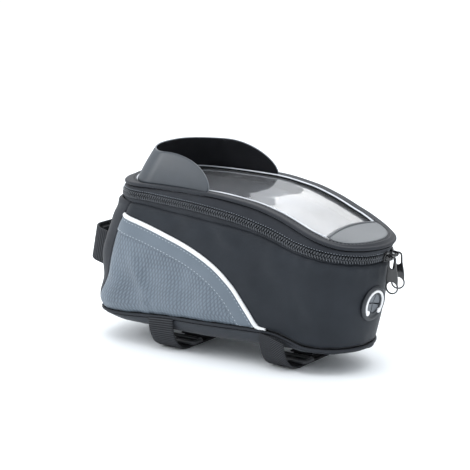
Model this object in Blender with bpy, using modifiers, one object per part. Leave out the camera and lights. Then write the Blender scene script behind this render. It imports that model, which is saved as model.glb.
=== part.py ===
"""Tank bag with a phone window, hook-and-loop straps and a two-slider zip lid.

Frame: metres, +X towards the handlebar, +Y to the left, +Z up.  The origin is under the
middle of the bag, on the surface that the two bottom straps stand on.

The bag is built from three plan outlines (base seam, zip line, lid rim).  Every fabric,
foam and lining layer is a patch of the wall between them, so the layers nest.
"""
import math

import bmesh
import bpy
from mathutils import Matrix, Vector

MM = 0.001

# ---- driving dimensions, in millimetres -------------------------------------------------
GAP = 0.3                      # clearance between pieces that touch
LAYER_GAP = 0.8                # clearance between the layers of the curved wall
SEAM_GAP = 0.6                 # between two panels that meet in a seam
FABRIC = 1.0                   # backed outer fabric
FOAM = 3.0                     # foam in the walls
LINING = 0.7                   # inner cloth
WEBBING = 1.5                  # strap webbing thickness

# plan outlines: front edge, front corner (length, width), front half width,
# centre of the round rear end, its length and half width
BASE_PLAN = dict(front=93.0, corner=(23.0, 31.0), half=42.5, rear=-68.0, end=(32.0, 33.5))
ZIP_PLAN = dict(front=78.5, corner=(29.0, 37.0), half=43.5, rear=-72.0, end=(37.3, 38.0))
RIM_PLAN = dict(front=77.0, corner=(29.0, 37.0), half=42.7, rear=-74.0, end=(38.5, 37.5))
TAPER_START = 10.0             # the sides run straight in front of this and taper behind it
PLAN_COLUMNS = 48              # facets round each closed outline

# seam heights as (x, z) from front to rear
BASE_SEAM = ((95, 22.5), (71, 21.0), (43, 22.6), (17, 24.4), (-14, 25.4), (-37, 26.2),
             (-50, 26.6), (-62, 24.0), (-75, 21.0), (-100, 20.0))
ZIP_SEAM = ((80, 101.0), (53, 101.2), (13, 99.8), (-22, 95.8), (-46, 90.2))
ZIP_REAR = (-68.0, 83.3)       # from here to the rear end the zip lies in one tilted plane
ZIP_SLOPE = 0.19               # rise of that plane per unit of x
RIM_SEAM = ((80, 109.0), (24, 109.6), (-5, 108.4), (-35, 105.2), (-54, 100.8), (-73, 94.0),
            (-88, 88.0), (-100, 84.6), (-114, 83.0))

WALL_BULGE = 1.6               # how far the walls swell between the two seams
WALL_LEAN = 0.97               # share of the way from the base outline to the zip's outline
SEAM_CLEAR = 1.5               # wall and base stop this far from the base seam's piping
ZIP_CLEAR = 3.5                # wall and gusset stop this far from the zip's middle line
PIPING_RADIUS = 1.1
BINDING_RADIUS = 1.25
COIL_RADIUS = 1.2              # half of a number 5 coil zip, one bead each side
COIL_OFFSET = 1.75             # from the zip's middle line to each bead's centre
TAPE = (1.55, 0.6)             # depth and thickness of the zip tapes behind the beads
ZIP_END = 0.93                 # the zip stops here along each half outline
ZIP_TILT = math.atan(ZIP_SLOPE)

FRONT_SEAM = ((56.5, 98.0), (64.0, 88.0), (70.0, 77.0), (73.5, 61.0), (77.0, 50.0),
              (83.0, 37.0), (86.0, 29.0), (83.0, 22.0))
STRIP_LINE = ((63.3, 88.4), (48.0, 86.0), (31.5, 81.8), (6.0, 73.6), (-13.0, 62.8),
              (-29.5, 49.6), (-38.0, 37.0), (-44.0, 28.0))
STRIP_WIDTH = 3.2
STRIP_THICKNESS = 0.5
SEAM_ROWS = (-38.0, -28.0, -12.0, 8.0, 28.0, 42.0, 50.0, 57.0, 63.3)

PAN_BOTTOM = 14.5              # height of the flat underside
PAN_PROFILE = ((0.0, 1.0), (0.9, 0.62), (3.2, 0.25), (6.5, 0.0))   # inset and share of height
BOARD_THICKNESS = 2.0
BOARD_INSET = 9.0
FOAM_SPAN = (0.05, 0.90)       # shares of the wall's height between which the foam lies
FOAM_SIDE = (0.29, 0.74)       # ends of each side foam along the outline
FOAM_REAR = 0.28               # ends of the rear foam
FOAM_FRONT = 0.76              # ends of the front foam
LINING_INSETS = (7.0, 11.0)    # the lining's floor turns in over these insets

PORT_HEIGHT = 47.0             # cable port in the rear wall
PORT_RADIUS = 11.6
PORT_HOLE = 7.5

STRAP_WIDTH = 20.0
STRAP_X = (35.0, -52.5)        # middles of the two bottom straps
STRAP_PROFILE = ((0.0, 1.0), (0.2, 0.80), (1.6, 0.52), (5.0, 0.25), (10.5, 0.07), (17.0, 0.0))
FRONT_STRAP_HEIGHT = 53.5
FRONT_STRAP_WIDTH = 24.0
FRONT_STRAP_REACH = 22.0
FRONT_STRAP_HALF = 15.0
RING_ROD = 1.5                 # radius of the plastic rings' rod
PATCH = 0.7                    # thickness of hook and loop patches
TAIL = 1.2                     # thickness of the straps' tails

LID_CROWN = 2.4                # how far the lid's middle stands above its rim
WINDOW_INSET = 6.5             # width of the lid's fabric frame
WINDOW_EDGE = 3.5              # the window's own edge lies under the frame
WINDOW_SPAN = (-108.5, 72.5)
WINDOW_THICKNESS = 0.5
LID_FABRIC = 0.8               # thickness of the lid's two fabric bands
PATCH_FRONT = -88.0            # ends of the seam across the window's rear
PATCH_BULGE = 3.5
HOOD_BASE = dict(front=68.0, corner=(26.0, 34.0), half=40.3, rear=-74.0, end=(38.0, 38.0))
HOOD_TOP = dict(front=56.0, corner=(22.0, 28.0), half=33.0, rear=-74.0, end=(33.0, 33.0))
HOOD_END = -4.6                # the hood's sides run back to here
HOOD_PEAK = 41.0               # in front of this the hood has its full height
HOOD_HEIGHT = 22.5
HOOD_THICKNESS = 1.0
PHONE_PAD_RISE = 1.2           # underside of the phone pad above the zip line
PAD_THICKNESS = 2.4
PAD_INSET = 5.2                # the pads reach this near the gusset
PAD_SPAN = (-103.0, 73.0)
FLAP_INSET = 8.8
FLAP_HINGE = 56.0
FLAP_END = 38.0

SLIDER_ANGLES = (-4.0, -19.0)  # where the two sliders rest on the round rear end
SLIDER_LENGTH = 8.4
SLIDER_HEIGHT = 6.4
PULL_LENGTH = 25.0
PULL_WIDTH = 9.0
PULL_THICKNESS = 1.2
BRIDGE_RISE = 3.3              # from the slider's outer face to the middle of its bridge
BRIDGE_RADIUS = 0.6

LID_HINGE = (78.8, 101.0)      # x and z of the line about which the lid folds
CENTRE_SHIFT = 3.4             # brings the middle of the whole bag to x = 0

COLOURS = {
    "nylon": (0.045, 0.052, 0.070, 0.62, 0.0),
    "dark_fabric": (0.060, 0.066, 0.078, 0.70, 0.0),
    "ripstop": (0.22, 0.28, 0.34, 0.60, 0.0),
    "reflective": (0.85, 0.87, 0.88, 0.35, 0.0),
    "webbing": (0.035, 0.036, 0.042, 0.75, 0.0),
    "foam": (0.30, 0.31, 0.33, 0.90, 0.0),
    "lining": (0.10, 0.10, 0.11, 0.80, 0.0),
    "board": (0.12, 0.12, 0.13, 0.55, 0.0),
    "coil": (0.030, 0.030, 0.034, 0.45, 0.0),
    "rubber": (0.11, 0.12, 0.14, 0.60, 0.0),
    "print": (0.90, 0.90, 0.92, 0.50, 0.0),
    "plastic": (0.030, 0.030, 0.033, 0.30, 0.0),
    "metal": (0.040, 0.040, 0.045, 0.30, 0.8),
    "sheet": (0.085, 0.090, 0.100, 0.40, 0.0),
    "window": (0.80, 0.85, 0.90, 0.08, 0.0),
    "hook_loop": (0.020, 0.020, 0.022, 0.95, 0.0),
}


# ---- scene, materials and collections ---------------------------------------------------
def clear_scene():
    for obj in list(bpy.data.objects):
        bpy.data.objects.remove(obj, do_unlink=True)


def make_collection(name):
    group = bpy.data.collections.new(name)
    bpy.context.scene.collection.children.link(group)
    return group


def make_material(name, colour):
    red, green, blue, roughness, metallic = colour
    material = bpy.data.materials.new(name)
    material.use_nodes = True
    shader = material.node_tree.nodes["Principled BSDF"]
    shader.inputs["Base Color"].default_value = (red, green, blue, 1.0)
    shader.inputs["Roughness"].default_value = roughness
    shader.inputs["Metallic"].default_value = metallic
    return material


def finish_object(name, data, finish, group):
    """Give the object its own material and put it in its collection."""
    obj = bpy.data.objects.new(name, data)
    data.materials.append(make_material(name, COLOURS[finish]))
    group.objects.link(obj)
    return obj


# ---- curves of height and plan ----------------------------------------------------------
def height_along(knots, x):
    """Height at x on a smooth line through (x, z) knots, level at no overshoot."""
    knots = sorted(knots)
    if x <= knots[0][0]:
        return knots[0][1]
    if x >= knots[-1][0]:
        return knots[-1][1]
    index = max(i for i in range(len(knots) - 1) if knots[i][0] <= x)
    slopes = [(b[1] - a[1]) / (b[0] - a[0]) for a, b in zip(knots, knots[1:])]

    def tangent(i):
        if i == 0:
            return slopes[0]
        if i == len(knots) - 1:
            return slopes[-1]
        before, after = slopes[i - 1], slopes[i]
        return 0.0 if before * after <= 0 else 2 * before * after / (before + after)

    (x0, z0), (x1, z1) = knots[index], knots[index + 1]
    span = x1 - x0
    f = (x - x0) / span
    rise = tangent(index) * span
    fall = tangent(index + 1) * span
    return (z0 * (2 * f ** 3 - 3 * f ** 2 + 1) + rise * (f ** 3 - 2 * f ** 2 + f)
            + z1 * (3 * f ** 2 - 2 * f ** 3) + fall * (f ** 3 - f ** 2))


def zip_height(x):
    """The zip line: a smooth curve, then one tilted plane round the rear end."""
    if x <= ZIP_REAR[0]:
        return ZIP_REAR[1] + ZIP_SLOPE * (x - ZIP_REAR[0])
    return height_along(ZIP_SEAM + (ZIP_REAR,), x)


def smooth_step(f):
    f = min(max(f, 0.0), 1.0)
    return f * f * (3 - 2 * f)


# shares of a half outline: round rear end, side, front corner, front
REAR_SHARE, SIDE_SHARE, CORNER_SHARE = 0.27, 0.48, 0.21


def plan_point(plan, s):
    """Point of a closed outline; s runs from 0 at the rear to 1 (left) or -1 (right)."""
    side = -1.0 if s < 0 else 1.0
    u = abs(s)
    length, width = plan["corner"]
    end_length, end_width = plan["end"]
    corner_x = plan["front"] - length
    if u <= REAR_SHARE:
        angle = 0.5 * math.pi * u / REAR_SHARE
        x = plan["rear"] - end_length * math.cos(angle)
        y = end_width * math.sin(angle)
    elif u <= REAR_SHARE + SIDE_SHARE:
        f = (u - REAR_SHARE) / SIDE_SHARE
        x = plan["rear"] + (corner_x - plan["rear"]) * f
        taper = smooth_step((x - plan["rear"]) / (TAPER_START - plan["rear"]))
        y = end_width + (plan["half"] - end_width) * taper
    elif u <= REAR_SHARE + SIDE_SHARE + CORNER_SHARE:
        angle = 0.5 * math.pi * (u - REAR_SHARE - SIDE_SHARE) / CORNER_SHARE
        x = corner_x + length * math.sin(angle)
        y = plan["half"] - width + width * math.cos(angle)
    else:
        rest = 1.0 - REAR_SHARE - SIDE_SHARE - CORNER_SHARE
        x = plan["front"]
        y = (plan["half"] - width) * (1.0 - u) / rest
    return Vector((x, side * y))


def plan_normal(plan, s):
    """Outward direction of an outline at s."""
    step = 0.004
    ahead = plan_point(plan, min(s + step, 1.0))
    behind = plan_point(plan, max(s - step, -1.0))
    tangent = ahead - behind
    return Vector((-tangent.y, tangent.x)).normalized()


def inset_point(plan, s, depth):
    return plan_point(plan, s) - plan_normal(plan, s) * depth


def columns(start, stop, count):
    return [start + (stop - start) * i / (count - 1) for i in range(count)]



# ---- the wall and lid surfaces ----------------------------------------------------------
def wall_point(s, f, depth=0.0):
    """Point of the body wall: f is 0 at its lower edge and 1 at its upper edge."""
    low = plan_point(BASE_PLAN, s)
    high = plan_point(ZIP_PLAN, s)
    z_low = height_along(BASE_SEAM, low.x) + SEAM_CLEAR
    z_high = zip_height(high.x) - ZIP_CLEAR
    normal = plan_normal(ZIP_PLAN, s)
    swell = WALL_BULGE * math.sin(math.pi * min(max(f, 0.0), 1.0))
    flat = low.lerp(high, f * WALL_LEAN) + normal * (swell - depth)
    return Vector((flat.x, flat.y, z_low + (z_high - z_low) * f))


def wall_locate(x, z):
    """(s, f) of the left wall's point with this x and z."""
    s, f = 0.5, 0.5
    for _ in range(12):
        low, high = 0.0, 0.999
        for _ in range(24):
            middle = 0.5 * (low + high)
            if wall_point(middle, f).x < x:
                low = middle
            else:
                high = middle
        s = 0.5 * (low + high)
        bottom = wall_point(s, 0.0).z
        top = wall_point(s, 1.0).z
        f = (z - bottom) / (top - bottom)
    return s, f


def zip_point(s, rise=0.0, depth=0.0):
    """Point by the zip line, rise along the tilted axis, depth inwards."""
    flat = inset_point(ZIP_PLAN, s, depth)
    spot = Vector((flat.x, flat.y, zip_height(flat.x)))
    return spot + Vector((-math.sin(ZIP_TILT), 0.0, math.cos(ZIP_TILT))) * rise


def rim_point(s, rise=0.0, depth=0.0):
    flat = inset_point(RIM_PLAN, s, depth)
    edge = plan_point(RIM_PLAN, s)
    return Vector((flat.x, flat.y, height_along(RIM_SEAM, edge.x) + rise))


def lid_top(x, y):
    """Height of the lid's crowned top."""
    half = RIM_PLAN["half"]
    return height_along(RIM_SEAM, x) + LID_CROWN * (1.0 - (y / half) ** 2)


def lid_point(s, depth, rise=0.0):
    flat = inset_point(RIM_PLAN, s, depth)
    return Vector((flat.x, flat.y, lid_top(flat.x, flat.y) + rise))


# ---- mesh builders ----------------------------------------------------------------------
def surface(name, rows, finish, group, thickness, closed=False, cap=False):
    """A sheet through rows of points, its front face on them, thickened behind them."""
    mesh = bpy.data.meshes.new(name)
    count = len(rows[0])
    spots = [point * MM for row in rows for point in row]
    faces = []
    for r in range(len(rows) - 1):
        for c in range(count if closed else count - 1):
            d = (c + 1) % count
            faces.append((r * count + c, r * count + d, (r + 1) * count + d, (r + 1) * count + c))
    if cap:
        faces.append(tuple((len(rows) - 1) * count + c for c in range(count)))
    mesh.from_pydata(spots, [], faces)
    mesh.update()
    mesh.shade_smooth()
    obj = finish_object(name, mesh, finish, group)
    shell = obj.modifiers.new("thickness", "SOLIDIFY")
    shell.thickness = thickness * MM
    shell.offset = -1.0
    shell.use_even_offset = True
    return obj


def tube(name, points, radius, finish, group, closed=False, sides=2):
    curve = bpy.data.curves.new(name, "CURVE")
    curve.dimensions = "3D"
    spline = curve.splines.new("POLY")
    spline.points.add(len(points) - 1)
    for spot, point in zip(spline.points, points):
        spot.co = (*(point * MM), 1.0)
    spline.use_cyclic_u = closed
    curve.bevel_depth = radius * MM
    curve.bevel_resolution = sides
    curve.use_fill_caps = not closed
    return finish_object(name, curve, finish, group)


def plate(name, outline, holes, thickness, finish, group):
    """A flat piece in its own XY plane, with its middle plane at z = 0."""
    curve = bpy.data.curves.new(name, "CURVE")
    curve.dimensions = "2D"
    curve.fill_mode = "BOTH"
    curve.extrude = 0.5 * thickness * MM
    for loop in [outline] + holes:
        spline = curve.splines.new("POLY")
        spline.points.add(len(loop) - 1)
        for spot, point in zip(spline.points, loop):
            spot.co = (point[0] * MM, point[1] * MM, 0.0, 1.0)
        spline.use_cyclic_u = True
    return finish_object(name, curve, finish, group)


def curve_to_mesh(obj, group):
    """Turn a curve object into a welded mesh object, so that it can be cut or joined."""
    bpy.context.view_layer.update()
    graph = bpy.context.evaluated_depsgraph_get()
    mesh = bpy.data.meshes.new_from_object(obj.evaluated_get(graph))
    work = bmesh.new()
    work.from_mesh(mesh)
    bmesh.ops.remove_doubles(work, verts=work.verts, dist=0.00001)
    work.to_mesh(mesh)
    work.free()
    name = obj.name
    solid = bpy.data.objects.new(name + "_mesh", mesh)
    solid.matrix_world = obj.matrix_world.copy()
    group.objects.link(solid)
    bpy.data.objects.remove(obj, do_unlink=True)
    solid.name = name
    return solid


def box_mesh(name, size, finish, group):
    mesh = bpy.data.meshes.new(name)
    work = bmesh.new()
    bmesh.ops.create_cube(work, size=1.0)
    bmesh.ops.scale(work, vec=Vector(size) * MM, verts=work.verts)
    work.to_mesh(mesh)
    work.free()
    return finish_object(name, mesh, finish, group)


def cylinder_mesh(name, radius, depth, segments, finish, group):
    mesh = bpy.data.meshes.new(name)
    work = bmesh.new()
    bmesh.ops.create_cone(work, cap_ends=True, segments=segments, radius1=radius * MM,
                          radius2=radius * MM, depth=depth * MM)
    work.to_mesh(mesh)
    work.free()
    return finish_object(name, mesh, finish, group)


def turned(name, profile, steps, finish, group, closed=True):
    """A (radius, height) profile turned about the object's own Z axis."""
    mesh = bpy.data.meshes.new(name)
    spots = [(radius * MM, 0.0, height * MM) for radius, height in profile]
    edges = [(i, i + 1) for i in range(len(profile) - 1)]
    if closed:
        edges.append((len(profile) - 1, 0))
    mesh.from_pydata(spots, edges, [])
    obj = finish_object(name, mesh, finish, group)
    screw = obj.modifiers.new("turn", "SCREW")
    screw.steps = steps
    screw.render_steps = steps
    screw.use_merge_vertices = True
    screw.merge_threshold = 0.00001
    return obj


def boolean(obj, cutter, operation):
    step = obj.modifiers.new(operation.lower(), "BOOLEAN")
    step.object = cutter
    step.operation = operation
    step.solver = "EXACT"
    return step


def make_cutter(obj):
    obj.hide_render = True
    obj.display_type = "WIRE"
    return obj


def place(obj, origin, x_axis, z_axis):
    """Set an object's place from its origin in millimetres and two of its axes."""
    z_dir = Vector(z_axis).normalized()
    y_dir = z_dir.cross(Vector(x_axis)).normalized()
    x_dir = y_dir.cross(z_dir)
    turn = Matrix((x_dir, y_dir, z_dir)).transposed().to_4x4()
    obj.matrix_world = Matrix.Translation(Vector(origin) * MM) @ turn
    return obj


def move_origin(obj, origin):
    """Move a mesh object's origin, in millimetres, without moving its shape."""
    local = obj.matrix_world.inverted() @ (Vector(origin) * MM)
    obj.data.transform(Matrix.Translation(-local))
    obj.matrix_world = obj.matrix_world @ Matrix.Translation(local)


def band(name, path, width_axis, width, thickness, finish, group):
    """Flat webbing along a path; its width runs along one fixed direction."""
    half = Vector(width_axis).normalized() * (0.5 * width)
    rows = [[point - half, point + half] for point in path]
    obj = surface(name, rows, finish, group, thickness)
    obj.modifiers["thickness"].offset = 0.0
    return obj


def arc_points(centre, radius, start, stop, count):
    """Points on an arc in the local plane, angles in degrees."""
    points = []
    for angle in columns(math.radians(start), math.radians(stop), count):
        points.append((centre[0] + radius * math.cos(angle), centre[1] + radius * math.sin(angle)))
    return points


# ---- body -------------------------------------------------------------------------------
def seam_s(knots, f):
    """s of the curve through (x, z) knots at wall height f, by interpolation."""
    spots = sorted((wall_locate(x, z)[::-1] for x, z in knots))
    pairs = [(height, s) for height, s in spots]
    return height_along(pairs, f)


def shift_seam(s, f, distance):
    """s after a move along the wall of so many millimetres, forwards if positive."""
    step = 0.002
    speed = (wall_point(s + step, f) - wall_point(s - step, f)).length / (2 * step)
    return s + distance / speed


def seam_heights():
    """Wall heights that the neighbouring panels share, below and above the strip's end."""
    under = [0.0]
    for x in SEAM_ROWS:
        under.append(wall_locate(x, height_along(STRIP_LINE, x))[1])
    return under, columns(under[-1], 1.0, 3)[1:]


def eased_columns(start, stop, count):
    """Places that crowd towards the front, where the wall turns its corner."""
    return [start + (stop - start) * (1.0 - (1.0 - f) ** 1.5) for f in columns(0.0, 1.0, count)]


def body_wrap(group, cutters):
    """Dark outer fabric from the left strip line round the rear to the right one."""
    under, above = seam_heights()
    rows = []
    for f in under + above:
        edge = seam_s(FRONT_SEAM if f in above else STRIP_LINE, f)
        edge = shift_seam(edge, f, -0.5 * SEAM_GAP)
        left = eased_columns(REAR_SHARE, edge, 11)
        around = columns(-REAR_SHARE, REAR_SHARE, 17)
        places = [-s for s in reversed(left)] + around[1:-1] + left
        rows.append([wall_point(s, f) for s in places])
    wrap = surface("body_wrap", rows[::-1], "nylon", group, FABRIC)
    boolean(wrap, port_cutter("wrap_port_cutter", PORT_HOLE, cutters), "DIFFERENCE")


def side_panel(side, name, group):
    """Ripstop panel under the reflective strip, back to the base seam."""
    under, _above = seam_heights()
    rows = []
    for f in under[:-1] + [0.75 * under[-1] + 0.25 * under[-2]]:
        front = shift_seam(seam_s(FRONT_SEAM, f), f, -0.5 * SEAM_GAP)
        rear = shift_seam(seam_s(STRIP_LINE, f), f, 0.5 * SEAM_GAP)
        rows.append([wall_point(side * s, f) for s in eased_columns(rear, front, 9)])
    rows = rows[::-1] if side > 0 else rows
    surface(name, rows, "ripstop", group, FABRIC)


def reflective_strip(side, name, group):
    """Narrow reflective piping that stands just proud of the seam."""
    under, _above = seam_heights()
    rise = GAP + STRIP_THICKNESS
    rows = []
    for f in [0.02] + under[1:-1] + [0.5 * (under[-1] + under[-2])]:
        middle = seam_s(STRIP_LINE, f)
        low = shift_seam(middle, f, -0.5 * STRIP_WIDTH)
        high = shift_seam(middle, f, 0.5 * STRIP_WIDTH)
        rows.append([wall_point(side * s, f, -rise) for s in columns(low, high, 3)])
    rows = rows[::-1] if side > 0 else rows
    surface(name, rows, "reflective", group, STRIP_THICKNESS)


def front_panel(group):
    under, above = seam_heights()
    rows = []
    for f in under + above:
        edge = shift_seam(seam_s(FRONT_SEAM, f), f, 0.5 * SEAM_GAP)
        left = [wall_point(s, f) for s in columns(edge, 1.0, 8)]
        right = [wall_point(s, f) for s in columns(-1.0, -edge, 8)]
        rows.append(left + right[1:])
    surface("front_panel", rows[::-1], "dark_fabric", group, FABRIC)


def wall_layer(name, start, stop, count, depth, group):
    """One foam layer of the wall between two places along the outline."""
    grid = []
    for f in columns(*FOAM_SPAN, 6):
        grid.append([wall_point(s, f, depth) for s in columns(start, stop, count)])
    return surface(name, grid[::-1], "foam", group, FOAM)


def wall_foams(group, cutters):
    depth = FABRIC + LAYER_GAP
    near, far = FOAM_SIDE
    wall_layer("foam_left", near, far, 13, depth, group)
    wall_layer("foam_right", -far, -near, 13, depth, group)
    rear = wall_layer("foam_rear", -FOAM_REAR, FOAM_REAR, 19, depth, group)
    boolean(rear, port_cutter("foam_port_cutter", PORT_HOLE, cutters), "DIFFERENCE")
    grid = []
    for f in columns(*FOAM_SPAN, 6):
        left = [wall_point(s, f, depth + GAP) for s in columns(FOAM_FRONT, 1.0, 8)]
        right = [wall_point(s, f, depth + GAP) for s in columns(-1.0, -FOAM_FRONT, 8)]
        grid.append(left + right[1:])
    surface("foam_front", grid[::-1], "foam", group, FOAM)


def closed_columns(count):
    """Evenly spaced places all the way round an outline."""
    return [-1.0 + 2.0 * i / count for i in range(count)]


def lining(group, cutters):
    """Open tub of thin cloth inside the foam."""
    depth = FABRIC + FOAM + 2 * LAYER_GAP
    places = closed_columns(44)
    rows = [[wall_point(s, f, depth) for s in places] for f in columns(1.02, 0.0, 5)]
    floor = PAN_BOTTOM + FABRIC + BOARD_THICKNESS + 2 * GAP
    for inset in LINING_INSETS:
        row = []
        for s in places:
            flat = inset_point(BASE_PLAN, s, inset)
            row.append(Vector((flat.x, flat.y, floor)))
        rows.append(row)
    tub = surface("lining", rows, "lining", group, LINING, closed=True, cap=True)
    boolean(tub, port_cutter("lining_port_cutter", PORT_HOLE, cutters), "DIFFERENCE")


def base_pan(group):
    """Boat-shaped outer base with a flat underside."""
    places = closed_columns(PLAN_COLUMNS)
    rows = []
    for inset, share in PAN_PROFILE:
        row = []
        for s in places:
            flat = inset_point(BASE_PLAN, s, inset)
            top = height_along(BASE_SEAM, plan_point(BASE_PLAN, s).x) - SEAM_CLEAR
            row.append(Vector((flat.x, flat.y, PAN_BOTTOM + (top - PAN_BOTTOM) * share)))
        rows.append(row)
    surface("base_pan", rows, "dark_fabric", group, FABRIC, closed=True, cap=True)


def base_board(group):
    outline = [inset_point(BASE_PLAN, s, BOARD_INSET) for s in closed_columns(40)]
    board = plate("base_board", outline, [], BOARD_THICKNESS, "board", group)
    board.location.z = (PAN_BOTTOM + FABRIC + GAP + 0.5 * BOARD_THICKNESS) * MM


def base_piping(group):
    points = []
    for s in closed_columns(PLAN_COLUMNS):
        flat = plan_point(BASE_PLAN, s)
        points.append(Vector((flat.x, flat.y, height_along(BASE_SEAM, flat.x))))
    tube("base_piping", points, PIPING_RADIUS, "dark_fabric", group, closed=True, sides=1)


# ---- zip --------------------------------------------------------------------------------
def zip_half(direction, label, group):
    """Tape and coil bead of one side of the zip; direction is 1 for the lid's side."""
    places = columns(-ZIP_END, ZIP_END, 55)
    near = 0.6 * direction
    far = 4.2 if direction > 0 else -7.0
    rows = [[zip_point(s, rise, TAPE[0]) for s in places] for rise in (near, far)]
    rows = rows[::-1] if direction < 0 else rows
    surface("zip_tape_" + label, rows[::-1], "webbing", group, TAPE[1])
    bead = [zip_point(s, COIL_OFFSET * direction) for s in places]
    tube("zip_coil_" + label, bead, COIL_RADIUS, "coil", group, sides=1)


def zip_stops(group):
    """Folded end stop at each front end of the zip."""
    for side, name in ((1, "zip_stop_left"), (-1, "zip_stop_right")):
        s = side * (ZIP_END + 0.012)
        stop = box_mesh(name, (1.6, 2.6, 2.4), "coil", group)
        normal = plan_normal(ZIP_PLAN, s)
        place(stop, zip_point(s, -COIL_OFFSET), normal.to_3d(), (-math.sin(ZIP_TILT), 0.0, 1.0))
        rounding = stop.modifiers.new("edges", "BEVEL")
        rounding.width = 0.4 * MM
        rounding.segments = 2


# ---- cable port -------------------------------------------------------------------------
def port_frame():
    """Outermost point of the rear wall at the port, and the wall's outward direction."""
    top, bottom = wall_point(0.0, 1.0), wall_point(0.0, 0.0)
    f = (PORT_HEIGHT - bottom.z) / (top.z - bottom.z)
    centre = wall_point(0.0, f)
    slope = wall_point(0.0, f + 0.05) - wall_point(0.0, f - 0.05)
    axis = Vector((-slope.z, 0.0, slope.x)).normalized()
    return centre, axis


def port_cutter(name, radius, cutters):
    centre, axis = port_frame()
    cutter = cylinder_mesh(name, radius, 24.0, 32, "rubber", cutters)
    place(cutter, centre, (0, 1, 0), axis)
    return make_cutter(cutter)


def cable_port(group, cutters):
    """Moulded cable port: an outer grommet with a cross slit, a washer and a white mark."""
    centre, axis = port_frame()
    flange = 1.5
    neck = PORT_HOLE - GAP
    profile = [(6.0, GAP + 0.6), (6.0, flange + GAP), (7.2, flange + 0.6 + GAP),
               (8.6, flange + GAP), (PORT_RADIUS - 0.9, flange + GAP),
               (PORT_RADIUS, flange - 0.7 + GAP), (PORT_RADIUS, GAP), (neck, GAP),
               (neck, -9.0), (6.0, -9.0), (6.0, -0.8), (0.0, -0.8)]
    body = turned("cable_port_grommet", [(0.0, GAP + 0.6)] + profile, 28, "rubber", group, False)
    place(body, centre, (0, 1, 0), axis)
    for turn, label in ((45.0, "a"), (-45.0, "b")):
        slit = box_mesh("slit_cutter_" + label, (9.6, 0.5, 6.0), "rubber", cutters)
        spin = Matrix.Rotation(math.radians(turn + 45.0), 4, "Z")
        place(slit, centre, (0, 1, 0), axis)
        slit.matrix_world = slit.matrix_world @ spin
        boolean(body, make_cutter(slit), "DIFFERENCE")
    washer = turned("cable_port_washer", [(7.7, -8.9), (10.6, -8.9), (10.6, -10.3), (7.7, -10.3)],
                    28, "plastic", group)
    place(washer, centre, (0, 1, 0), axis)
    outer = arc_points((0, 0), 10.3, -35.0, 215.0, 21)
    inner = arc_points((0, 0), 9.0, 215.0, -35.0, 21)
    mark = plate("cable_port_mark", outer + inner, [], 0.35, "print", group)
    place(mark, centre + axis * (flange + 2 * GAP + 0.2), (0, -1, 0), axis)


# ---- straps -----------------------------------------------------------------------------
def bottom_strap_path(x):
    """Loop of webbing from the left base seam, under the bag, to the right base seam."""
    low, high = REAR_SHARE * 0.3, 0.95
    for _ in range(30):
        s = 0.5 * (low + high)
        if plan_point(BASE_PLAN, s).x < x + 0.5 * STRAP_WIDTH:
            low = s
        else:
            high = s
    half = plan_point(BASE_PLAN, s).y + 1.4
    lowest_seam = min(height_along(BASE_SEAM, x + reach) for reach in columns(-10.0, 10.0, 9))
    top = lowest_seam - PIPING_RADIUS - 0.6
    floor = 0.5 * WEBBING
    left = [Vector((x, half - inset, floor + (top - floor) * share))
            for inset, share in STRAP_PROFILE]
    right = [Vector((x, -point.y, point.z)) for point in reversed(left)]
    return left + right


def rounded_ring(length, width, radius, per_corner):
    """Rounded rectangle, as points in a plane."""
    points = []
    corners = ((1, 1, 0), (-1, 1, 90), (-1, -1, 180), (1, -1, 270))
    for x_side, y_side, start in corners:
        centre = (x_side * (0.5 * length - radius), y_side * (0.5 * width - radius))
        points += arc_points(centre, radius, start, start + 90, per_corner)
    return points


def strap_ring(label, frame, group):
    """Rectangular plastic ring on the webbing's inner face.

    A frame is (origin, along, out): a place on that face, the direction in which the
    strap's tail lies, and the direction from the webbing into the loop.
    """
    origin, along, out = frame
    across = along.cross(out)
    centre = origin + out * (RING_ROD + GAP) - along * 2.6
    outline = rounded_ring(STRAP_WIDTH + 4.4, 9.0, 2.2, 4)
    ring = [centre + across * x + along * y for x, y in outline]
    tube(label + "_ring", ring, RING_ROD, "plastic", group, closed=True, sides=1)


def strap_tail(label, frame, start, stop, width, group):
    """Loop patch on the strap, and the hinged tail with its hook patch."""
    origin, along, out = frame
    across = along.cross(out)
    loop_rise = GAP + 0.5 * PATCH
    hook_rise = loop_rise + PATCH + GAP
    tail_rise = hook_rise + 0.5 * PATCH + GAP + 0.5 * TAIL
    hinge = origin + along * start + out * tail_rise
    pieces = (("_loop_patch", loop_rise, PATCH, width - 1.0, start, stop + 2.0, "hook_loop"),
              ("_hook_patch", hook_rise, PATCH, width - 2.0, start + 1.5, stop - 1.5, "hook_loop"),
              ("_tail", tail_rise, TAIL, width, start, stop, "webbing"))
    for suffix, rise, thick, wide, first, last, finish in pieces:
        obj = box_mesh(label + suffix, (wide, last - first, thick), finish, group)
        place(obj, origin + along * (0.5 * (first + last)) + out * rise, across, out)
        if suffix != "_loop_patch":
            move_origin(obj, hinge)


def bottom_straps(group):
    for x, label in zip(STRAP_X, ("front_bottom_strap", "rear_bottom_strap")):
        path = bottom_strap_path(x)
        band(label, path, (1, 0, 0), STRAP_WIDTH, WEBBING, "webbing", group)
        origin = Vector((x, path[0].y - 27.0, WEBBING))
        frame = (origin, Vector((0, -1, 0)), Vector((0, 0, 1)))
        strap_ring(label, frame, group)
        strap_tail(label, frame, 6.2, 24.0, STRAP_WIDTH - 3.0, group)


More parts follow.
